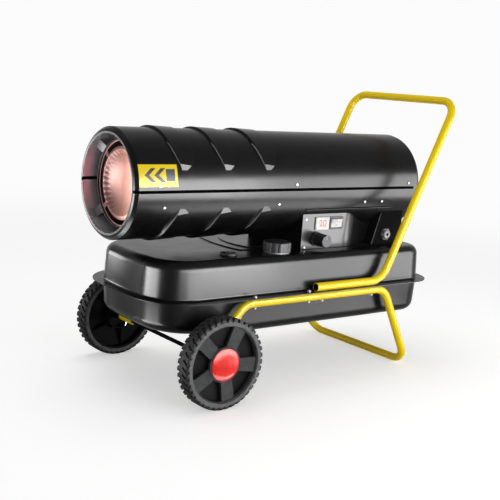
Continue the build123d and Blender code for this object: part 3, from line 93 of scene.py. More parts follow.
# %% Camera
VIEW_AZ, VIEW_EL, VIEW_ROLL = math.radians(-38.58), math.radians(10.316), math.radians(4.177)
CAMERA_PLACE = (-1.8180, -2.2128, 0.8833)
SENSOR_MM, LENS_MM = 36, 66.94
SHIFT_X, SHIFT_Y = -0.0027, 0.0007
back = Vector((math.sin(VIEW_AZ) * math.cos(VIEW_EL), -math.cos(VIEW_AZ) * math.cos(VIEW_EL),
               math.sin(VIEW_EL)))
level = Vector((math.cos(VIEW_AZ), math.sin(VIEW_AZ), 0))
upright = back.cross(level)
right = level * math.cos(VIEW_ROLL) + upright * math.sin(VIEW_ROLL)
up = upright * math.cos(VIEW_ROLL) - level * math.sin(VIEW_ROLL)

bpy.ops.object.camera_add()
camera = bpy.context.object
camera.name = "camera"
camera.matrix_world = Matrix((
    (right.x, up.x, back.x, CAMERA_PLACE[0]),
    (right.y, up.y, back.y, CAMERA_PLACE[1]),
    (right.z, up.z, back.z, CAMERA_PLACE[2]),
    (0, 0, 0, 1),
))
camera.data.sensor_width = SENSOR_MM
camera.data.lens = LENS_MM
camera.data.shift_x = SHIFT_X
camera.data.shift_y = SHIFT_Y
bpy.context.scene.camera = camera
bpy.context.scene.view_settings.view_transform = "Standard"
print("camera at", tuple(round(v, 3) for v in camera.location))

# %% [markdown]
# ## Floor and light
# A satin black object is drawn by what it mirrors. One broad, low panel stands
# along the control side and one hangs overhead, and these two light the colours.
# The cards show only in gloss: they give the long pale band on the barrel, the
# grey sheen on the tank's flank, the light front corner of the tank and the shine
# inside the mouth. Some of them lie on the floor and lighten what faces down. A
# picture of a studio, wrapped round the world, would give such shine too, but a
# lamp can be moved alone. The floor and the room are plain and pale.

# %% Floor
FLOOR_SIZE, FLOOR_Z = 160, -0.0005
FLOOR_GREY = 0.80
FLOOR_GLOW = 0.47          # the white that the floor adds to the light it catches
bpy.ops.mesh.primitive_plane_add(size=FLOOR_SIZE, location=(0, 0, FLOOR_Z))
floor = bpy.context.object
floor.name = "studio_floor"
floor_paint = bpy.data.materials.new("pale_floor")
floor_paint.use_nodes = True
floor_tree = floor_paint.node_tree
floor_shader = floor_tree.nodes["Principled BSDF"]
floor_shader.inputs["Base Color"].default_value = (FLOOR_GREY, FLOOR_GREY, FLOOR_GREY, 1)
floor_shader.inputs["Roughness"].default_value = 0.9
floor_shader.inputs["Specular IOR Level"].default_value = 0.0


# %% Which rays meet the background
def seen_rays(tree):
    """1 for the rays that should meet the pale background, and 0 for the rest."""
    path = tree.nodes.new("ShaderNodeLightPath")
    mirrored = tree.nodes.new("ShaderNodeMath")
    mirrored.operation = "MAXIMUM"
    seen = tree.nodes.new("ShaderNodeMath")
    seen.operation = "MAXIMUM"
    tree.links.new(path.outputs["Is Glossy Ray"], mirrored.inputs[0])
    tree.links.new(path.outputs["Is Transmission Ray"], mirrored.inputs[1])
    tree.links.new(path.outputs["Is Camera Ray"], seen.inputs[0])
    tree.links.new(mirrored.outputs[0], seen.inputs[1])
    return seen.outputs[0]


# %% Floor that fades into the backdrop
BACKDROP = 0.97
FADE_START, FADE_END = 1.0, 4.5    # metres from the heater
near_white = floor_tree.nodes.new("ShaderNodeEmission")
floor_tree.links.new(seen_rays(floor_tree), near_white.inputs["Strength"])
near_white.inputs["Color"].default_value = (FLOOR_GLOW, FLOOR_GLOW, FLOOR_GLOW, 1)
near = floor_tree.nodes.new("ShaderNodeAddShader")
floor_tree.links.new(floor_shader.outputs[0], near.inputs[0])
floor_tree.links.new(near_white.outputs[0], near.inputs[1])
# far from the heater the floor turns into the backdrop, so there is no horizon
far_white = floor_tree.nodes.new("ShaderNodeEmission")
far_white.inputs["Color"].default_value = (BACKDROP, BACKDROP, BACKDROP, 1)
spot = floor_tree.nodes.new("ShaderNodeTexCoord")
reach = floor_tree.nodes.new("ShaderNodeVectorMath")
reach.operation = "LENGTH"
floor_tree.links.new(spot.outputs["Object"], reach.inputs[0])
fade = floor_tree.nodes.new("ShaderNodeMapRange")
fade.interpolation_type = "SMOOTHSTEP"
fade.inputs["From Min"].default_value = FADE_START
fade.inputs["From Max"].default_value = FADE_END
floor_tree.links.new(reach.outputs["Value"], fade.inputs["Value"])
far_share = floor_tree.nodes.new("ShaderNodeMath")
far_share.operation = "MULTIPLY"
floor_tree.links.new(fade.outputs["Result"], far_share.inputs[0])
floor_tree.links.new(seen_rays(floor_tree), far_share.inputs[1])
floor_mix = floor_tree.nodes.new("ShaderNodeMixShader")
floor_tree.links.new(far_share.outputs[0], floor_mix.inputs[0])
floor_tree.links.new(near.outputs[0], floor_mix.inputs[1])
floor_tree.links.new(far_white.outputs[0], floor_mix.inputs[2])
floor_tree.links.new(floor_mix.outputs[0], floor_tree.nodes["Material Output"].inputs["Surface"])
floor.data.materials.append(floor_paint)
print("the floor turns into the backdrop", FADE_START, "to", FADE_END, "metres out")


# %% Lamps
def soft_panel(name, azimuth, rise, distance, width, height, radiance, aim=(0, 0, 0.45)):
    """A rectangular soft lamp that stands off in one direction and faces the heater."""
    aim = Vector(aim)
    azimuth, rise = math.radians(azimuth), math.radians(rise)
    away = Vector((math.cos(azimuth) * math.cos(rise), math.sin(azimuth) * math.cos(rise),
                   math.sin(rise)))
    bpy.ops.object.light_add(type="AREA", location=aim + away * distance)
    lamp = bpy.context.object
    lamp.name = name
    lamp.data.shape = "RECTANGLE"
    lamp.data.size = width
    lamp.data.size_y = height
    lamp.data.energy = radiance * math.pi * width * height
    lamp.rotation_euler = away.to_track_quat("Z", "Y").to_euler()
    lamp.visible_camera = False
    return lamp


soft_panel("side_panel", -70, 0, 2.3, 3.2, 0.85, 3.6, aim=(0, 0, 0.44))
soft_panel("top_panel", 120, 72, 2.6, 2.2, 1.4, 2.0)

# name, azimuth, rise, distance, width, height, radiance, aim
CARDS = (
    ("band_card", -68, 0, 1.35, 2.4, 0.95, 34, (0, 0, 0.45)),
    ("front_card", -75, 0, 1.1, 1.5, 0.60, 50, (-0.60, 0, 0.50)),
    ("corner_card", 163, 0, 1.4, 1.05, 0.5, 100, (-0.45, -0.15, 0.25)),
    ("mouth_card", 112, -7, 1.5, 0.45, 0.5, 26, (-0.53, 0, 0.58)),
    # these three lie on the floor and face upwards
    ("low_card", 0, -90, 0.297, 1.0, 0.38, 18, (0.45, -0.66, 0.30)),
    ("nose_card", 0, -90, 0.297, 0.45, 0.45, 45, (-0.92, -0.02, 0.30)),
    ("cap_card", 0, -90, 0.297, 0.22, 0.07, 40, (-0.30, -0.385, 0.30)),
)
for card_values in CARDS:
    soft_panel(*card_values).visible_diffuse = False
print("lamps:", len(bpy.data.lights), "of them cards:", len(CARDS))

# %% World
ROOM_GREY = 0.42
world = bpy.data.worlds.new("studio")
bpy.context.scene.world = world
world.use_nodes = True
sky = world.node_tree
sky.nodes.clear()
out = sky.nodes.new("ShaderNodeOutputWorld")
mix = sky.nodes.new("ShaderNodeMixShader")
room = sky.nodes.new("ShaderNodeBackground")
room.inputs["Color"].default_value = (ROOM_GREY, ROOM_GREY, ROOM_GREY, 1)
backdrop = sky.nodes.new("ShaderNodeBackground")
backdrop.inputs["Color"].default_value = (BACKDROP, BACKDROP, BACKDROP, 1)
sky.links.new(seen_rays(sky), mix.inputs[0])
sky.links.new(room.outputs[0], mix.inputs[1])
sky.links.new(backdrop.outputs[0], mix.inputs[2])
sky.links.new(mix.outputs[0], out.inputs["Surface"])

# %% [markdown]
# ## Finishes
# Each finish is one material. One helper makes the shader with its plain values.
# Others add what the eye reads as the real surface: a fine relief, and a slow
# change of colour or gloss across it. Short helpers join the nodes in between.
# A picture needs an unwrapped mesh, so every pattern is noise on the piece's own
# coordinates instead, which needs none.


# %% A plain finish
def finish(name, colour, roughness, metallic=0.0, specular=0.5):
    """A new material whose plain values sit on the shader's own sockets."""
    made = bpy.data.materials.new(name)
    made.use_nodes = True
    shader = made.node_tree.nodes["Principled BSDF"]
    shader.inputs["Base Color"].default_value = (*colour, 1)
    shader.inputs["Roughness"].default_value = roughness
    shader.inputs["Metallic"].default_value = metallic
    shader.inputs["Specular IOR Level"].default_value = specular
    return made


# %% Node helpers
def add_node(material, kind, **values):
    """A new node. A value goes to the socket of that name, or else to the node itself."""
    made = material.node_tree.nodes.new(kind)
    for key, value in values.items():
        if key in made.inputs:
            made.inputs[key].default_value = value
        else:
            setattr(made, key, value)
    return made


def wire(material, out_socket, in_socket):
    """One link, from an output to an input."""
    material.node_tree.links.new(out_socket, in_socket)


def shader_of(material):
    """The node that every finish is built round."""
    return material.node_tree.nodes["Principled BSDF"]


def place(material):
    """Object coordinates, in metres."""
    return add_node(material, "ShaderNodeTexCoord").outputs["Object"]


def feed(material, values, sockets):
    """Wires each value that is an output, and sets each one that is a plain number."""
    for value, socket in zip(values, sockets):
        if isinstance(value, bpy.types.NodeSocket):
            wire(material, value, socket)
        else:
            socket.default_value = value


# %% Arithmetic helpers
def number(material, operation, *values):
    """One step of arithmetic."""
    made = add_node(material, "ShaderNodeMath", operation=operation)
    feed(material, values, made.inputs)
    return made.outputs[0]


def vector(material, operation, *values, output="Vector"):
    """One step of vector arithmetic."""
    made = add_node(material, "ShaderNodeVectorMath", operation=operation)
    feed(material, values, made.inputs)
    return made.outputs[output]


def parts_of(material, source):
    """The three coordinates of a vector, one output each."""
    made = add_node(material, "ShaderNodeSeparateXYZ")
    wire(material, source, made.inputs[0])
    return made.outputs


def share(material, value, low, high, to=(0.0, 1.0), smooth=True):
    """Maps a value from one range to another, eased at both ends unless told not to."""
    made = add_node(material, "ShaderNodeMapRange")
    if smooth:
        made.interpolation_type = "SMOOTHSTEP"
    for name, limit in zip(("From Min", "From Max", "To Min", "To Max"), (low, high, *to)):
        made.inputs[name].default_value = limit
    wire(material, value, made.inputs["Value"])
    return made.outputs["Result"]


def distance_from(material, point, squeeze):
    """The distance from one point, in metres, after a squeeze along the axes."""
    away = vector(material, "SUBTRACT", place(material), point)
    return vector(material, "LENGTH", vector(material, "MULTIPLY", away, squeeze),
                  output="Value")


# %% Pattern and colour helpers
def noise(material, scale, detail=3.0):
    """Cloudy noise from 0 to 1. A larger scale makes smaller clouds."""
    made = add_node(material, "ShaderNodeTexNoise", Scale=scale, Detail=detail, Roughness=0.55)
    wire(material, place(material), made.inputs["Vector"])
    return made.outputs["Fac"]


def ramp(material, factor, stops):
    """A colour ramp: stops are (position, colour)."""
    made = add_node(material, "ShaderNodeValToRGB")
    wire(material, factor, made.inputs["Fac"])
    points = made.color_ramp.elements
    while len(points) < len(stops):
        points.new(0.5)
    for point, (position, colour) in zip(points, stops):
        point.position = position
        point.color = (*colour, 1)
    return made.outputs["Color"]


def blend(material, factor, first, second, kind="MIX"):
    """Mixes two colours. Each may be an output or a plain colour."""
    made = add_node(material, "ShaderNodeMix", data_type="RGBA", blend_type=kind)
    feed(material, (factor, first, second),
         (made.inputs["Factor"], made.inputs["A"], made.inputs["B"]))
    return made.outputs["Result"]


def colour_of(material):
    """Whatever feeds the shader's base colour now."""
    return shader_of(material).inputs["Base Color"].links[0].from_socket


def colour_with(material, source):
    """Feeds the shader's base colour from an output."""
    wire(material, source, shader_of(material).inputs["Base Color"])


# %% Surface helpers
def relief(material, height, distance):
    """Turns a height into a fine bump, in metres, and chains it after any bump before it."""
    made = add_node(material, "ShaderNodeBump", Distance=distance, Strength=1.0)
    wire(material, height, made.inputs["Height"])
    normal = shader_of(material).inputs["Normal"]
    if normal.is_linked:
        wire(material, normal.links[0].from_socket, made.inputs["Normal"])
    wire(material, made.outputs["Normal"], normal)


def uneven(material, low, high, scale):
    """Lets the roughness drift between low and high across the surface."""
    drift = share(material, noise(material, scale), 0.35, 0.65, to=(low, high), smooth=False)
    wire(material, drift, shader_of(material).inputs["Roughness"])


# %% Paints
def enamel(name, dark, light, rough_low, rough_high, specular, peel=0.00002):
    """Baked enamel: an even colour, a faint orange peel and gloss that drifts a little."""
    made = finish(name, dark, rough_low, specular=specular)
    colour_with(made, ramp(made, noise(made, 9), [(0.3, dark), (0.7, light)]))
    uneven(made, rough_low, rough_high, 14)
    relief(made, noise(made, 420, detail=2), peel)
    return made


BLACK_DARK, BLACK_LIGHT = (0.0030, 0.0030, 0.0032), (0.0045, 0.0045, 0.0047)
black_enamel = enamel("black_enamel", BLACK_DARK, BLACK_LIGHT, 0.22, 0.27, 0.06)
shell_enamel = enamel("shell_enamel", BLACK_DARK, BLACK_LIGHT, 0.22, 0.27, 0.06)
panel_enamel = enamel("panel_enamel", BLACK_DARK, BLACK_LIGHT, 0.22, 0.27, 0.11)
flat_black = enamel("flat_black", (0.0035, 0.0035, 0.0036), (0.005, 0.005, 0.0052),
                    0.8, 0.9, 0.004)
yellow_enamel = enamel("yellow_enamel", (0.95, 0.66, 0.005), (0.97, 0.70, 0.007),
                       0.30, 0.36, 0.05, peel=0.00001)
print("paints:", black_enamel.name, flat_black.name, yellow_enamel.name)

# %% Bare steel inside the shell
# The enamel covers only the outside. Where a surface of the shell faces the
# barrel's axis, or backwards behind the lip, it is plain galvanised sheet. Near
# the mouth, at the height of the axis, that sheet is tinted pink.
METAL_SHARE = 0.35
PINK_HEIGHT = (0.03, 0.12)        # from the axis: full below the first, gone at the second
PINK_REACH = (-OUTLET_X - 0.050, -OUTLET_X - 0.028)
PINK_TINT = (0.95, 0.52, 0.60, 1)
face_way = add_node(shell_enamel, "ShaderNodeTexCoord").outputs
from_axis = vector(shell_enamel, "SUBTRACT", face_way["Object"], (0, 0, BARREL_AXIS_Z))
radial = vector(shell_enamel, "MULTIPLY", from_axis, (0, 1, 1))
outward = vector(shell_enamel, "DOT_PRODUCT", radial, face_way["Normal"], output="Value")
inside = number(shell_enamel, "LESS_THAN", outward, -0.02)
spangle = ramp(shell_enamel, noise(shell_enamel, 90, detail=4),
               [(0.3, (0.40, 0.405, 0.42)), (0.7, (0.54, 0.545, 0.57))])
offset = parts_of(shell_enamel, vector(shell_enamel, "ABSOLUTE", from_axis))
pink_share = number(shell_enamel, "MULTIPLY",
               share(shell_enamel, offset["Z"], *PINK_HEIGHT, to=(1.0, 0.0)),
               share(shell_enamel, offset["X"], *PINK_REACH))
bare_sheet = blend(shell_enamel, pink_share, spangle, PINK_TINT)
colour_with(shell_enamel, blend(shell_enamel, inside, colour_of(shell_enamel), bare_sheet))
wire(shell_enamel, number(shell_enamel, "MULTIPLY", inside, METAL_SHARE),
     shader_of(shell_enamel).inputs["Metallic"])

# %% Metals
zinc = finish("zinc_plate", (0.62, 0.63, 0.64), 0.32, metallic=1.0)
uneven(zinc, 0.24, 0.42, 120)
worn_zinc = finish("worn_zinc", (0.11, 0.11, 0.115), 0.5, metallic=0.8)
uneven(worn_zinc, 0.38, 0.55, 160)
cast_alloy = finish("cast_alloy", (0.55, 0.56, 0.57), 0.5, metallic=1.0)
relief(cast_alloy, noise(cast_alloy, 700), 0.0001)
fan_alloy = finish("fan_alloy", (0.68, 0.69, 0.70), 0.38, metallic=1.0)
uneven(fan_alloy, 0.3, 0.5, 60)
nozzle_brass = finish("nozzle_brass", (0.72, 0.50, 0.20), 0.3, metallic=1.0)
uneven(nozzle_brass, 0.25, 0.4, 200)

scorched_steel = finish("scorched_steel", (0.50, 0.36, 0.32), 0.42, metallic=0.85)
colour_with(scorched_steel, ramp(
    scorched_steel, noise(scorched_steel, 22, detail=5),
    [(0.30, (0.36, 0.20, 0.17)), (0.5, (0.60, 0.36, 0.30)), (0.72, (0.52, 0.42, 0.40))]))
relief(scorched_steel, noise(scorched_steel, 160), 0.0003)
sooty_steel = finish("sooty_steel", (0.03, 0.025, 0.024), 0.7, metallic=0.2, specular=0.05)
colour_with(sooty_steel, ramp(sooty_steel, noise(sooty_steel, 22, detail=5),
                              [(0.30, (0.016, 0.013, 0.012)), (0.7, (0.05, 0.038, 0.034))]))
dark_steel = finish("dark_steel", (0.035, 0.035, 0.036), 0.55, metallic=0.8)
uneven(dark_steel, 0.45, 0.65, 160)
dull_steel = finish("dull_steel", (0.16, 0.16, 0.165), 0.6, metallic=0.2, specular=0.08)
uneven(dull_steel, 0.5, 0.7, 90)


# %% Plastics, rubber and the rest
def moulded(name, colour, roughness, grain, specular=0.4):
    """Moulded plastic or rubber with a fine grain."""
    made = finish(name, colour, roughness, specular=specular)
    lighter = tuple(min(1.0, c * 1.5 + 0.004) for c in colour)
    colour_with(made, ramp(made, noise(made, 60, detail=4), [(0.35, colour), (0.75, lighter)]))
    relief(made, noise(made, 1500, detail=2), grain)
    return made


black_plastic = moulded("black_plastic", (0.010, 0.010, 0.011), 0.40, 0.00005, specular=0.06)
wheel_plastic = moulded("wheel_plastic", (0.040, 0.041, 0.042), 0.45, 0.00006, specular=0.008)
tyre_rubber = moulded("tyre_rubber", (0.085, 0.086, 0.087), 0.6, 0.00012, specular=0.02)
red_plastic = moulded("red_plastic", (0.76, 0.020, 0.014), 0.22, 0.00001, specular=0.07)
grey_plastic = moulded("grey_plastic", (0.10, 0.10, 0.105), 0.42, 0.00005, specular=0.08)
pale_plastic = moulded("pale_plastic", (0.58, 0.57, 0.56), 0.4, 0.00002, specular=0.04)
porcelain = moulded("porcelain", (0.80, 0.78, 0.72), 0.15, 0.00001)
# the seam's seal is black rubber, made near-black and without gloss as painted shade of a groove
# deeper than the solid's
seal_rubber = moulded("seal_rubber", (0.001, 0.001, 0.001), 0.9, 0.00005, specular=0.0)
open_foam = moulded("open_foam", (0.03, 0.03, 0.03), 0.9, 0.0008, specular=0.1)
board_green = moulded("board_green", (0.01, 0.10, 0.03), 0.4, 0.00005)
clear_window = finish("clear_window", (0.9, 0.92, 0.93), 0.05)
shader_of(clear_window).inputs["Transmission Weight"].default_value = 1.0
uneven(clear_window, 0.03, 0.08, 80)
print("finishes so far:", len(bpy.data.materials))

# %% [markdown]
# ## Finishes that follow the shape
# The baffle is stained pink by heat, and its rolled rim stays an even pink. Its
# bowl also carries a painted glow: painted light, palest low on the control side
# and shaded darker away from there. The wheels are one moulding; the recessed
# web is painted almost black as painted shade, and the raised spokes keep the
# plastic's grey. The tyre's flank is a lighter grey than its tread. The push bar is
# open at both ends, and the inside of its ends is painted dark as painted shade.
# Such a change could be painted by hand, but then it holds for one mesh only. Here
# each is worked out from the distance to a point, an axis or the middle plane.

# %% Heat-stained baffle with a painted glow
BAFFLE_RIM = (0.1135, 0.1165)      # where the rolled rim starts, and where it is reached
# the bowl's colour is painted light: white-pink round this spot, and darker as painted shade
# further from it
PAINTED_GLOW_SPOT = (-0.52, -0.088, BARREL_AXIS_Z - 0.010)
PAINTED_GLOW_SQUEEZE = (0.4, 1, 0.75)
heat_stain_and_painted_glow = finish("heat_stain_and_painted_glow", (0.5, 0.25, 0.2), 0.45, metallic=0.16, specular=0.04)
painted_glow = share(heat_stain_and_painted_glow, distance_from(heat_stain_and_painted_glow, PAINTED_GLOW_SPOT, PAINTED_GLOW_SQUEEZE), 0.015, 0.15,
              smooth=False)
bowl_stain_and_glow = blend(
    heat_stain_and_painted_glow, noise(heat_stain_and_painted_glow, 38, detail=5),
    ramp(heat_stain_and_painted_glow, painted_glow, [(0.15, (1.0, 0.92, 0.88)), (0.45, (0.92, 0.56, 0.46)),
                              (0.75, (0.44, 0.22, 0.18)), (1.0, (0.22, 0.12, 0.105))]),
    ramp(heat_stain_and_painted_glow, painted_glow, [(0.15, (1.0, 0.86, 0.80)), (0.45, (0.72, 0.38, 0.30)),
                              (0.75, (0.28, 0.13, 0.105)), (1.0, (0.13, 0.07, 0.063))]))
rim_share = share(heat_stain_and_painted_glow, distance_from(heat_stain_and_painted_glow, (0, 0, BARREL_AXIS_Z), (0, 1, 1)),
                  *BAFFLE_RIM)
rim_colour = ramp(heat_stain_and_painted_glow, noise(heat_stain_and_painted_glow, 60),
                  [(0.3, (0.70, 0.36, 0.31)), (0.7, (0.86, 0.48, 0.42))])
colour_with(heat_stain_and_painted_glow, blend(heat_stain_and_painted_glow, rim_share, bowl_stain_and_glow, rim_colour))
relief(heat_stain_and_painted_glow, noise(heat_stain_and_painted_glow, 160), 0.0003)

# %% Wheels, tyres and the open tube
# the spokes stand out to 304 mm from the middle plane and the web lies below 290 mm
WEB_Y = 0.2866
TYRE_SHOULDER = (0.1165, 0.1225)   # where the flank ends, and where the tread is reached
flank = parts_of(wheel_plastic, vector(wheel_plastic, "ABSOLUTE", place(wheel_plastic)))
# painted shade: the recessed web's colour is cut to a twentieth, as if in shadow, and the raised
# spokes keep the plastic's grey
web_shade_share = share(wheel_plastic, flank["Y"], WEB_Y + 0.001, WEB_Y + 0.010)
painted_web_shade = ramp(wheel_plastic, web_shade_share, [(0.0, (0.05, 0.05, 0.05)), (1.0, (1, 1, 1))])
colour_with(wheel_plastic, blend(wheel_plastic, 1.0, colour_of(wheel_plastic), painted_web_shade, "MULTIPLY"))

around_axle = distance_from(tyre_rubber, (AXLE_X, 0, AXLE_Z), (1, 0, 1))
tread_black = ramp(tyre_rubber, noise(tyre_rubber, 80),
                   [(0.3, (0.016, 0.016, 0.017)), (0.7, (0.026, 0.026, 0.027))])
colour_with(tyre_rubber, blend(tyre_rubber, share(tyre_rubber, around_axle, *TYRE_SHOULDER),
                               colour_of(tyre_rubber), tread_black))

BORE_Y, BORE_Z, BORE_R = 0.231, 0.2965, 0.0112     # the bar's open ends, on either side
PAINTED_BORE_SHADE = (0.006, 0.005, 0.004, 1)
either_side = vector(yellow_enamel, "ABSOLUTE", place(yellow_enamel))
from_bore = vector(yellow_enamel, "SUBTRACT", either_side, (0, BORE_Y, BORE_Z))
bore_distance = vector(yellow_enamel, "LENGTH",
                       vector(yellow_enamel, "MULTIPLY", from_bore, (0, 1, 1)), output="Value")
# painted shade: inside the bar's open ends the yellow gives way to near black, as if in shadow
# deep in the tube
in_bore = number(yellow_enamel, "LESS_THAN", bore_distance, BORE_R)
colour_with(yellow_enamel, blend(yellow_enamel, in_bore, colour_of(yellow_enamel), PAINTED_BORE_SHADE))

# %% Plate and marks
plate_yellow = finish("plate_yellow", (0.92, 0.70, 0.01), 0.3, specular=0.08)
relief(plate_yellow, noise(plate_yellow, 300), 0.00002)
colour_with(plate_yellow, ramp(plate_yellow, noise(plate_yellow, 40),
                               [(0.3, (0.92, 0.66, 0.008)), (0.7, (0.95, 0.72, 0.012))]))
printed_black = moulded("printed_black", (0.012, 0.012, 0.016), 0.35, 0.00001, specular=0.1)
pale_mark = moulded("pale_mark", (0.70, 0.70, 0.69), 0.5, 0.00001, specular=0.1)
red_mark = moulded("red_mark", (0.75, 0.10, 0.06), 0.5, 0.00001, specular=0.1)
print("finishes in all:", len(bpy.data.materials))

# %% [markdown]
# ## Dressing the solids
# Every solid that is shown as it is gets its finish here, by name. One table is
# easier to read, and to change, than a line of code for each of them.

# %% Finishes by piece
DRESS = {
    "upper_shell": shell_enamel, "lower_shell": shell_enamel, "rear_guard": black_enamel,
    "tank_upper": black_enamel, "tank_lower": black_enamel, "base_box": flat_black,
    "control_panel": panel_enamel, "rear_side_plate": flat_black,
    "frame_rail": yellow_enamel, "handle": yellow_enamel,
    "shell_screws": worn_zinc, "panel_screws": worn_zinc, "frame_bolts": dark_steel,
    "handle_inserts": zinc,
    "axle": flat_black, "cotter_pins": zinc, "axle_nuts": zinc, "drain_plug": zinc,
    "chamber_brackets": dull_steel, "motor_shaft": zinc, "motor_clamp": zinc, "motor_struts": zinc,
    "motor": zinc, "seam_seals": seal_rubber,
    "filler_neck": dark_steel, "filler_strainer": zinc,
    "combustion_chamber": sooty_steel,
    "burner_head": scorched_steel,
    "fuel_nozzle": nozzle_brass, "spark_plug": porcelain, "fan": fan_alloy,
    "pump_housing": cast_alloy, "pump_end_cover": cast_alloy,
    "flame_sensor": black_plastic, "pressure_gauge": black_plastic, "fuel_cap": black_plastic,
    "cap_core": black_plastic, "fuel_gauge": black_plastic, "fuel_float": black_plastic,
    "rocker_frame": black_plastic, "thermostat_knob": black_plastic,
    "ignition_transformer": black_plastic,
    "pump_rotor": grey_plastic, "cable_gland": grey_plastic, "thermostat": grey_plastic,
    "fuel_filter": grey_plastic, "air_filter": open_foam, "circuit_board": board_green,
    "gauge_window": clear_window, "display_window": pale_plastic, "power_rocker": pale_plastic,
    "wheel_left": wheel_plastic, "wheel_right": wheel_plastic,
    "tyre_left": tyre_rubber, "tyre_right": tyre_rubber,
    "hub_cap_left": red_plastic, "hub_cap_right": red_plastic,
}
for name, material in DRESS.items():
    nodes[name].data.materials.clear()
    nodes[name].data.materials.append(material)
print("dressed:", len(DRESS), "bare:", sorted(set(nodes) - set(DRESS)))

# %% [markdown]
# ## Modelling helpers
# A new piece is modelled in edit mode and then settled: its place goes into the
# mesh, it gets a name and a finish, and it rides on the body that carries it.


# %% Modelling helpers
def settle(piece, name, material, body="heater", smooth=None):
    """Applies the piece's place to its mesh and hands it over to the frame."""
    take(piece)
    bpy.ops.object.transform_apply(location=True, rotation=True, scale=True)
    bpy.ops.object.mode_set(mode="EDIT")
    bpy.ops.mesh.select_all(action="SELECT")
    bpy.ops.mesh.normals_make_consistent(inside=False)
    bpy.ops.object.mode_set(mode="OBJECT")
    if smooth:
        bpy.ops.object.shade_smooth_by_angle(angle=math.radians(smooth))
    piece.name = piece.data.name = name
    piece.data.materials.clear()
    piece.data.materials.append(material)
    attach(piece, body)
    return piece


def pick(piece, wanted, kind="VERT"):
    """In edit mode, selects the vertices, edges or faces whose middle passes a test."""
    bpy.ops.object.mode_set(mode="EDIT")
    bpy.ops.mesh.select_mode(type=kind)
    bpy.ops.mesh.select_all(action="DESELECT")
    bpy.ops.object.mode_set(mode="OBJECT")
    mesh = piece.data
    for element in {"VERT": mesh.vertices, "EDGE": mesh.edges, "FACE": mesh.polygons}[kind]:
        if kind == "VERT":
            middle = element.co
        else:
            points = [mesh.vertices[i].co for i in element.vertices]
            middle = sum(points, Vector()) / len(points)
        element.select = bool(wanted(middle))
    bpy.ops.object.mode_set(mode="EDIT")


def solid_sheet(piece, thickness, offset):
    """Gives a sheet its thickness."""
    take(piece)
    wall = piece.modifiers.new("thickness", "SOLIDIFY")
    wall.thickness = thickness
    wall.offset = offset
    bpy.ops.object.modifier_apply(modifier=wall.name)


# %% [markdown]
# ## Baffle behind the outlet
# Behind the mouth a pressed plate holds the flame in its chamber, and lets hot
# air out round its rim. A profile that is spun would give its bowl but not the
# flutes, so a circle is drawn inwards ring by ring, and each ring is pushed back.
# Then every fourth spoke of the bowl's wall comes forward, the ones halfway
# between go back, and four long slots are cut near the rim.

# %% Dished baffle
SPOKES = 144
FLUTED = (0.0835, 0.0925)          # the radii between which the bowl's wall has flutes
FLUTES = ((0, 0.0022), (2, -0.0018))   # which spoke of every four, and how far it moves
SLOTTED = (0.101, 0.116)
BRIDGE = (36.5, 45)                # degrees from the level, at all four bridges
BAFFLE_SHEET = 0.001
bpy.ops.mesh.primitive_circle_add(vertices=SPOKES, radius=BAFFLE_R, fill_type="NOTHING")
baffle = take(bpy.context.object)
bpy.ops.object.mode_set(mode="EDIT")
bpy.ops.mesh.select_all(action="SELECT")
# each ring: its radius, and how far it lies behind the plate
RINGS = ((0.116, 0.0), (0.108, 0.0), (0.101, 0.0), (0.098, -0.0005), (0.0955, -0.0022),
         (0.093, -0.0025), (0.091, -0.0012), (0.088, 0.0025), (0.085, 0.0058), (0.081, 0.0088),
         (0.076, 0.012), (0.068, 0.0158), (0.058, 0.0198), (0.046, 0.023), (0.032, 0.0255),
         (0.016, 0.0268), (0.003, 0.027))
last_r, last_depth = BAFFLE_R, 0.0
for ring_r, depth in RINGS:
    bpy.ops.mesh.extrude_edges_move()
    bpy.ops.transform.resize(value=(ring_r / last_r, ring_r / last_r, 1))
    bpy.ops.transform.translate(value=(0, 0, last_depth - depth))
    last_r, last_depth = ring_r, depth
bpy.ops.mesh.edge_face_add()
for nth_spoke, shift in FLUTES:
    pick(baffle, lambda v: FLUTED[0] < math.hypot(v.x, v.y) < FLUTED[1]
         and round(math.degrees(math.atan2(v.y, v.x)) * SPOKES / 360) % 4 == nth_spoke)
    bpy.ops.transform.translate(value=(0, 0, shift))


def in_slot(middle):
    """Slots lie between the two rings, clear of the four bridges."""
    turn = abs(math.degrees(math.atan2(middle.y, middle.x)))
    from_level = min(turn, 180 - turn)
    return (SLOTTED[0] < math.hypot(middle.x, middle.y) < SLOTTED[1]
            and not BRIDGE[0] < from_level < BRIDGE[1])


pick(baffle, in_slot, "FACE")
bpy.ops.mesh.delete(type="FACE")
bpy.ops.object.mode_set(mode="OBJECT")
solid_sheet(baffle, BAFFLE_SHEET, -1)
# stand it up, so that its front looks out of the barrel
baffle.rotation_euler = (math.pi / 2, 0, -math.pi / 2)
baffle.location = (BAFFLE_X, 0, BARREL_AXIS_Z)
settle(baffle, "dished_baffle", heat_stain_and_painted_glow, smooth=50)
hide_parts("flame_baffle")
print("baffle faces:", len(baffle.data.polygons))

# %% [markdown]
# ## Plate on the outlet's side
# A plain yellow plate lies on the barrel beside its mouth. Its only marks are a
# dark bar and two dark chevrons, which point the way the air goes. A flat plate
# could be bent to fit, but a line that is spun round the barrel's own axis lies
# on it everywhere. The marks are made the same way, one sheet further out.

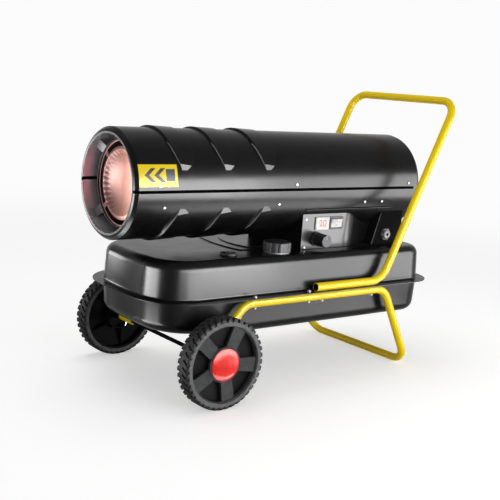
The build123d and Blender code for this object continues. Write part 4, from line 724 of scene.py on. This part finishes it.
# %% Curved sheets
def curved_patch(outline, low_deg, high_deg, radius, steps):
    """A sheet on the barrel: a line along X, spun from one angle to another."""
    low = math.radians(low_deg)
    bpy.ops.mesh.primitive_plane_add(size=1, location=(0, 0, 0))
    patch = take(bpy.context.object)
    bpy.ops.object.mode_set(mode="EDIT")
    bpy.ops.mesh.select_all(action="SELECT")
    bpy.ops.mesh.delete(type="VERT")
    bpy.ops.object.mode_set(mode="OBJECT")
    patch.data.vertices.add(len(outline))
    for vertex, x in zip(patch.data.vertices, outline):
        vertex.co = (x, -radius * math.cos(low), BARREL_AXIS_Z + radius * math.sin(low))
    patch.data.edges.add(len(outline) - 1)
    for i, edge in enumerate(patch.data.edges):
        edge.vertices = (i, i + 1)
    patch.data.update()
    bpy.ops.object.mode_set(mode="EDIT")
    bpy.ops.mesh.select_all(action="SELECT")
    bpy.ops.mesh.spin(steps=steps, angle=math.radians(high_deg - low_deg), dupli=False,
                      center=(0, 0, BARREL_AXIS_Z), axis=(1, 0, 0))
    bpy.ops.object.mode_set(mode="OBJECT")
    return patch


# %% Outlet plate
PLATE_R = BARREL_R + 0.0003
PLATE_THICK = 0.0006
PLATE_START, PLATE_STEP, PLATE_STOPS = -0.5615, 0.005, 25
PLATE_LOW, PLATE_HIGH = 3.5, 25.75     # degrees above the axis, on the control side
plate = curved_patch([PLATE_START + PLATE_STEP * i for i in range(PLATE_STOPS)],
                     PLATE_LOW, PLATE_HIGH, PLATE_R, 20)
print("plate spans z", round(min(v.co.z for v in plate.data.vertices), 4),
      round(max(v.co.z for v in plate.data.vertices), 4))
solid_sheet(plate, PLATE_THICK, 1)
settle(plate, "outlet_plate", plate_yellow, smooth=40)

# %% Marks on the plate
PRINT_THICK = 0.00015
MARK_MIDDLE = 15.0                 # degrees above the axis
CHEVRON_HALF, BAR_HALF = 7, 6      # degrees to either side of that
CHEVRON_TIPS, CHEVRON_ARM, CHEVRON_SWEEP = (-0.545, -0.515), 0.014, 0.022
BAR_STOPS = [-0.478, -0.468, -0.458, -0.450]
for nth, tip_x in enumerate(CHEVRON_TIPS, start=1):
    chevron = curved_patch([tip_x, tip_x + CHEVRON_ARM], MARK_MIDDLE - CHEVRON_HALF,
                           MARK_MIDDLE + CHEVRON_HALF, PLATE_R + PLATE_THICK, 14)
    lean = CHEVRON_SWEEP / math.radians(CHEVRON_HALF)
    for vertex in chevron.data.vertices:
        turn = math.atan2(vertex.co.z - BARREL_AXIS_Z, -vertex.co.y)
        vertex.co.x += lean * abs(turn - math.radians(MARK_MIDDLE))
    solid_sheet(chevron, PRINT_THICK, 1)
    settle(chevron, f"plate_chevron_{nth}", printed_black, smooth=40)
bar = curved_patch(BAR_STOPS, MARK_MIDDLE - BAR_HALF, MARK_MIDDLE + BAR_HALF,
                   PLATE_R + PLATE_THICK, 12)
solid_sheet(bar, PRINT_THICK, 1)
settle(bar, "plate_bar", printed_black, smooth=40)
print("marks on the plate:", len(CHEVRON_TIPS) + 1)

# %% [markdown]
# ## Marks on the controls
# The display shows two plain digits, and the knob has a pale pointer, which turns
# with it. The digits are a text object. It becomes a mesh before it is placed, so
# that its place can go into the mesh.

# %% Digits on the display
DIGIT_SIZE, DIGIT_DEPTH = 0.030, 0.00015
window_low, window_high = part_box("display_window")
bpy.ops.object.text_add()
digits = take(bpy.context.object)
digits.data.body = "20"
digits.data.size = DIGIT_SIZE
digits.data.align_x = "CENTER"
digits.data.align_y = "CENTER"
digits.data.extrude = DIGIT_DEPTH
bpy.ops.object.convert(target="MESH")
digits = take(bpy.context.object)
digits.rotation_euler = (math.pi / 2, 0, 0)
digits.location = ((window_low[0] + window_high[0]) / 2, window_low[1] - 0.0001,
                   (window_low[2] + window_high[2]) / 2)
settle(digits, "display_digits", red_mark)

# %% Pointer on the knob
POINTER_SIZE = (0.0022, 0.0008, 0.0125)
POINTER_IN, POINTER_UP = 0.0012, 0.011     # from the knob's front and from its middle
knob_low, knob_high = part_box("thermostat_knob")
bpy.ops.mesh.primitive_cube_add(size=1)
pointer = take(bpy.context.object)
pointer.scale = POINTER_SIZE
pointer.location = ((knob_low[0] + knob_high[0]) / 2, knob_low[1] + POINTER_IN,
                    (knob_low[2] + knob_high[2]) / 2 + POINTER_UP)
bpy.ops.object.transform_apply(location=True, rotation=True, scale=True)
bpy.ops.object.mode_set(mode="EDIT")
bpy.ops.mesh.select_all(action="SELECT")
bpy.ops.mesh.bevel(offset=0.0002, segments=2)
settle(pointer, "knob_pointer", pale_mark, body="knob", smooth=40)
print("digits and pointer:", len(digits.data.polygons), len(pointer.data.polygons), "faces")

# %% [markdown]
# ## Screw heads with a cross
# Fourteen cross-headed screws hold the shell. A cross could be drawn as a bump,
# but it is sunk so deep that it has to be a shape. One head is modelled lying
# flat: a short cylinder, a domed top and a cross cut into it. Each screw of the
# shell is a copy, turned to face away from the barrel's axis.

# %% One screw head
HEAD_R, HEAD_H = 0.004, 0.0022
DOME = ((0.0009, 0.0006), (0.0012, 0.0003))        # how far in, and how far up
CROSS_LONG, CROSS_WIDE, CROSS_TALL = 0.0046, 0.0010, 0.0016
bpy.ops.mesh.primitive_cylinder_add(vertices=32, radius=HEAD_R, depth=HEAD_H,
                                    location=(0, 0, HEAD_H / 2))
head = take(bpy.context.object)
bpy.ops.object.transform_apply(location=True)
pick(head, lambda middle: middle.z > HEAD_H * 0.99, "FACE")
for step_in, step_up in DOME:
    bpy.ops.mesh.inset(thickness=step_in)
    bpy.ops.transform.translate(value=(0, 0, step_up))
bpy.ops.object.mode_set(mode="OBJECT")
for cut_size in ((CROSS_LONG, CROSS_WIDE, CROSS_TALL), (CROSS_WIDE, CROSS_LONG, CROSS_TALL)):
    bpy.ops.mesh.primitive_cube_add(size=1, location=(0, 0, HEAD_H + CROSS_TALL / 2))
    cutter = take(bpy.context.object)
    cutter.scale = cut_size
    bpy.ops.object.transform_apply(location=True, scale=True)
    take(head)
    recess = head.modifiers.new("recess", "BOOLEAN")
    recess.operation = "DIFFERENCE"
    recess.object = cutter
    bpy.ops.object.modifier_apply(modifier=recess.name)
    bpy.data.objects.remove(cutter, do_unlink=True)

# %% A head for every screw
# where each stands along the barrel, and its degrees above the axis
SEAM_SCREWS = [(x, 4.0) for x in (-0.498, -0.022, 0.457)]
FLANK_SCREWS = [(x, -18.0) for x in (-0.476, -0.079, 0.272, 0.348)]
heads = []
for side in (-1, 1):
    for x, turn in SEAM_SCREWS + FLANK_SCREWS:
        turn = math.radians(turn)
        outwards = Vector((0, side * math.cos(turn), math.sin(turn)))
        foot = Vector((x, 0, BARREL_AXIS_Z)) + outwards * BARREL_R
        twin = head.copy()
        twin.data = head.data.copy()
        bpy.context.collection.objects.link(twin)
        # each cross stands at its own angle
        twin.matrix_world = (Matrix.Translation(foot)
                             @ outwards.to_track_quat("Z", "Y").to_matrix().to_4x4()
                             @ Matrix.Rotation(0.4 + 7 * x, 4, "Z"))
        heads.append(twin)
bpy.data.objects.remove(head, do_unlink=True)
take(heads[0])
for other in heads[1:]:
    other.select_set(True)
bpy.ops.object.join()
cross_screws = take(bpy.context.object)
settle(cross_screws, "cross_screws", worn_zinc, smooth=35)
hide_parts("shell_screws")
print("screw heads:", len(heads), "faces:", len(cross_screws.data.polygons))

# %% [markdown]
# ## Rolled edges
# The hem along the barrel's flank and the slanting edge of the rear side plate
# are rolled over a wire, and each catches the light as one thin line. The solids
# stay as they are, so each bead is a thin rod that is laid along its edge.


# %% A round bead
def rod(name, start, end, radius, material):
    """A round bead from one point to another, with rounded ends."""
    start, end = Vector(start), Vector(end)
    bpy.ops.mesh.primitive_cylinder_add(vertices=20, radius=radius, depth=(end - start).length)
    made = take(bpy.context.object)
    bpy.ops.object.mode_set(mode="EDIT")
    bpy.ops.mesh.select_mode(type="FACE")
    bpy.ops.mesh.select_all(action="DESELECT")
    bpy.ops.object.mode_set(mode="OBJECT")
    for face in made.data.polygons:
        face.select = len(face.vertices) > 4
    bpy.ops.object.mode_set(mode="EDIT")
    bpy.ops.mesh.bevel(offset=radius * 0.6, segments=3)
    bpy.ops.object.mode_set(mode="OBJECT")
    made.rotation_euler = (end - start).to_track_quat("Z", "Y").to_euler()
    made.location = (start + end) / 2
    return settle(made, name, material, smooth=40)


# %% Rolled edges
HEM_TURN, HEM_R = math.radians(-26.1), BARREL_R + 0.0022
HEM_START, HEM_END = 0.034, 0.399
HEM_BEAD_R, PLATE_BEAD_R = 0.0016, 0.0012
hem_z = BARREL_AXIS_Z + HEM_R * math.sin(HEM_TURN)
for side, hand in ((-1, "left"), (1, "right")):
    hem_y = side * HEM_R * math.cos(HEM_TURN)
    rod(f"hem_bead_{hand}", (HEM_START, hem_y, hem_z), (HEM_END, hem_y, hem_z), HEM_BEAD_R,
        black_enamel)
SLANT_LOW, SLANT_HIGH = (0.3345, -0.1318, 0.3935), (0.3675, -0.1318, 0.4955)
rod("side_plate_bead", SLANT_LOW, SLANT_HIGH, PLATE_BEAD_R, black_enamel)
print("the hem's beads lie", round(hem_z, 4), "above the floor")

# %% [markdown]
# ## Marks on the rocker
# A stroke on the upper half and a ring on the lower half say on and off, and
# they tip with the rocker. Each lies on its own half of the bent face, so it is
# placed in the rocker's outline first, and then tipped with it.

# %% Rocker marks
ROCKER_AXIS = Vector((0.1696, -0.1325, 0.4683))
TILT = math.radians(7)              # how far the rocker is tipped at rest
SLOPE = math.atan2(1.7, 12.8)       # of either half of its face
MARK_UP, STROKE_IN, RING_IN = 0.0068, -0.00455, -0.0045
STROKE_SIZE = (0.0012, 0.0003, 0.0055)
RING_R, RING_WIRE_R, RING_FLAT = 0.0024, 0.00045, 0.4


def on_rocker(inwards, upwards):
    """A point of the rocker's outline, as the rocker stands at rest."""
    return ROCKER_AXIS + Vector((0, inwards * math.cos(TILT) - upwards * math.sin(TILT),
                                 inwards * math.sin(TILT) + upwards * math.cos(TILT)))


bpy.ops.mesh.primitive_cube_add(size=1)
stroke = take(bpy.context.object)
stroke.scale = STROKE_SIZE
stroke.rotation_euler = (TILT + SLOPE, 0, 0)
stroke.location = on_rocker(STROKE_IN, MARK_UP)
settle(stroke, "rocker_stroke", printed_black, body="rocker")
bpy.ops.mesh.primitive_torus_add(major_radius=RING_R, minor_radius=RING_WIRE_R,
                                 major_segments=32, minor_segments=8)
ring = take(bpy.context.object)
ring.scale = (1, 1, RING_FLAT)
ring.rotation_euler = (math.pi / 2 + TILT - SLOPE, 0, 0)
ring.location = on_rocker(RING_IN, -MARK_UP)
settle(ring, "rocker_ring", printed_black, body="rocker", smooth=60)
print("rocker marks at", tuple(round(v, 4) for v in stroke.data.vertices[0].co))
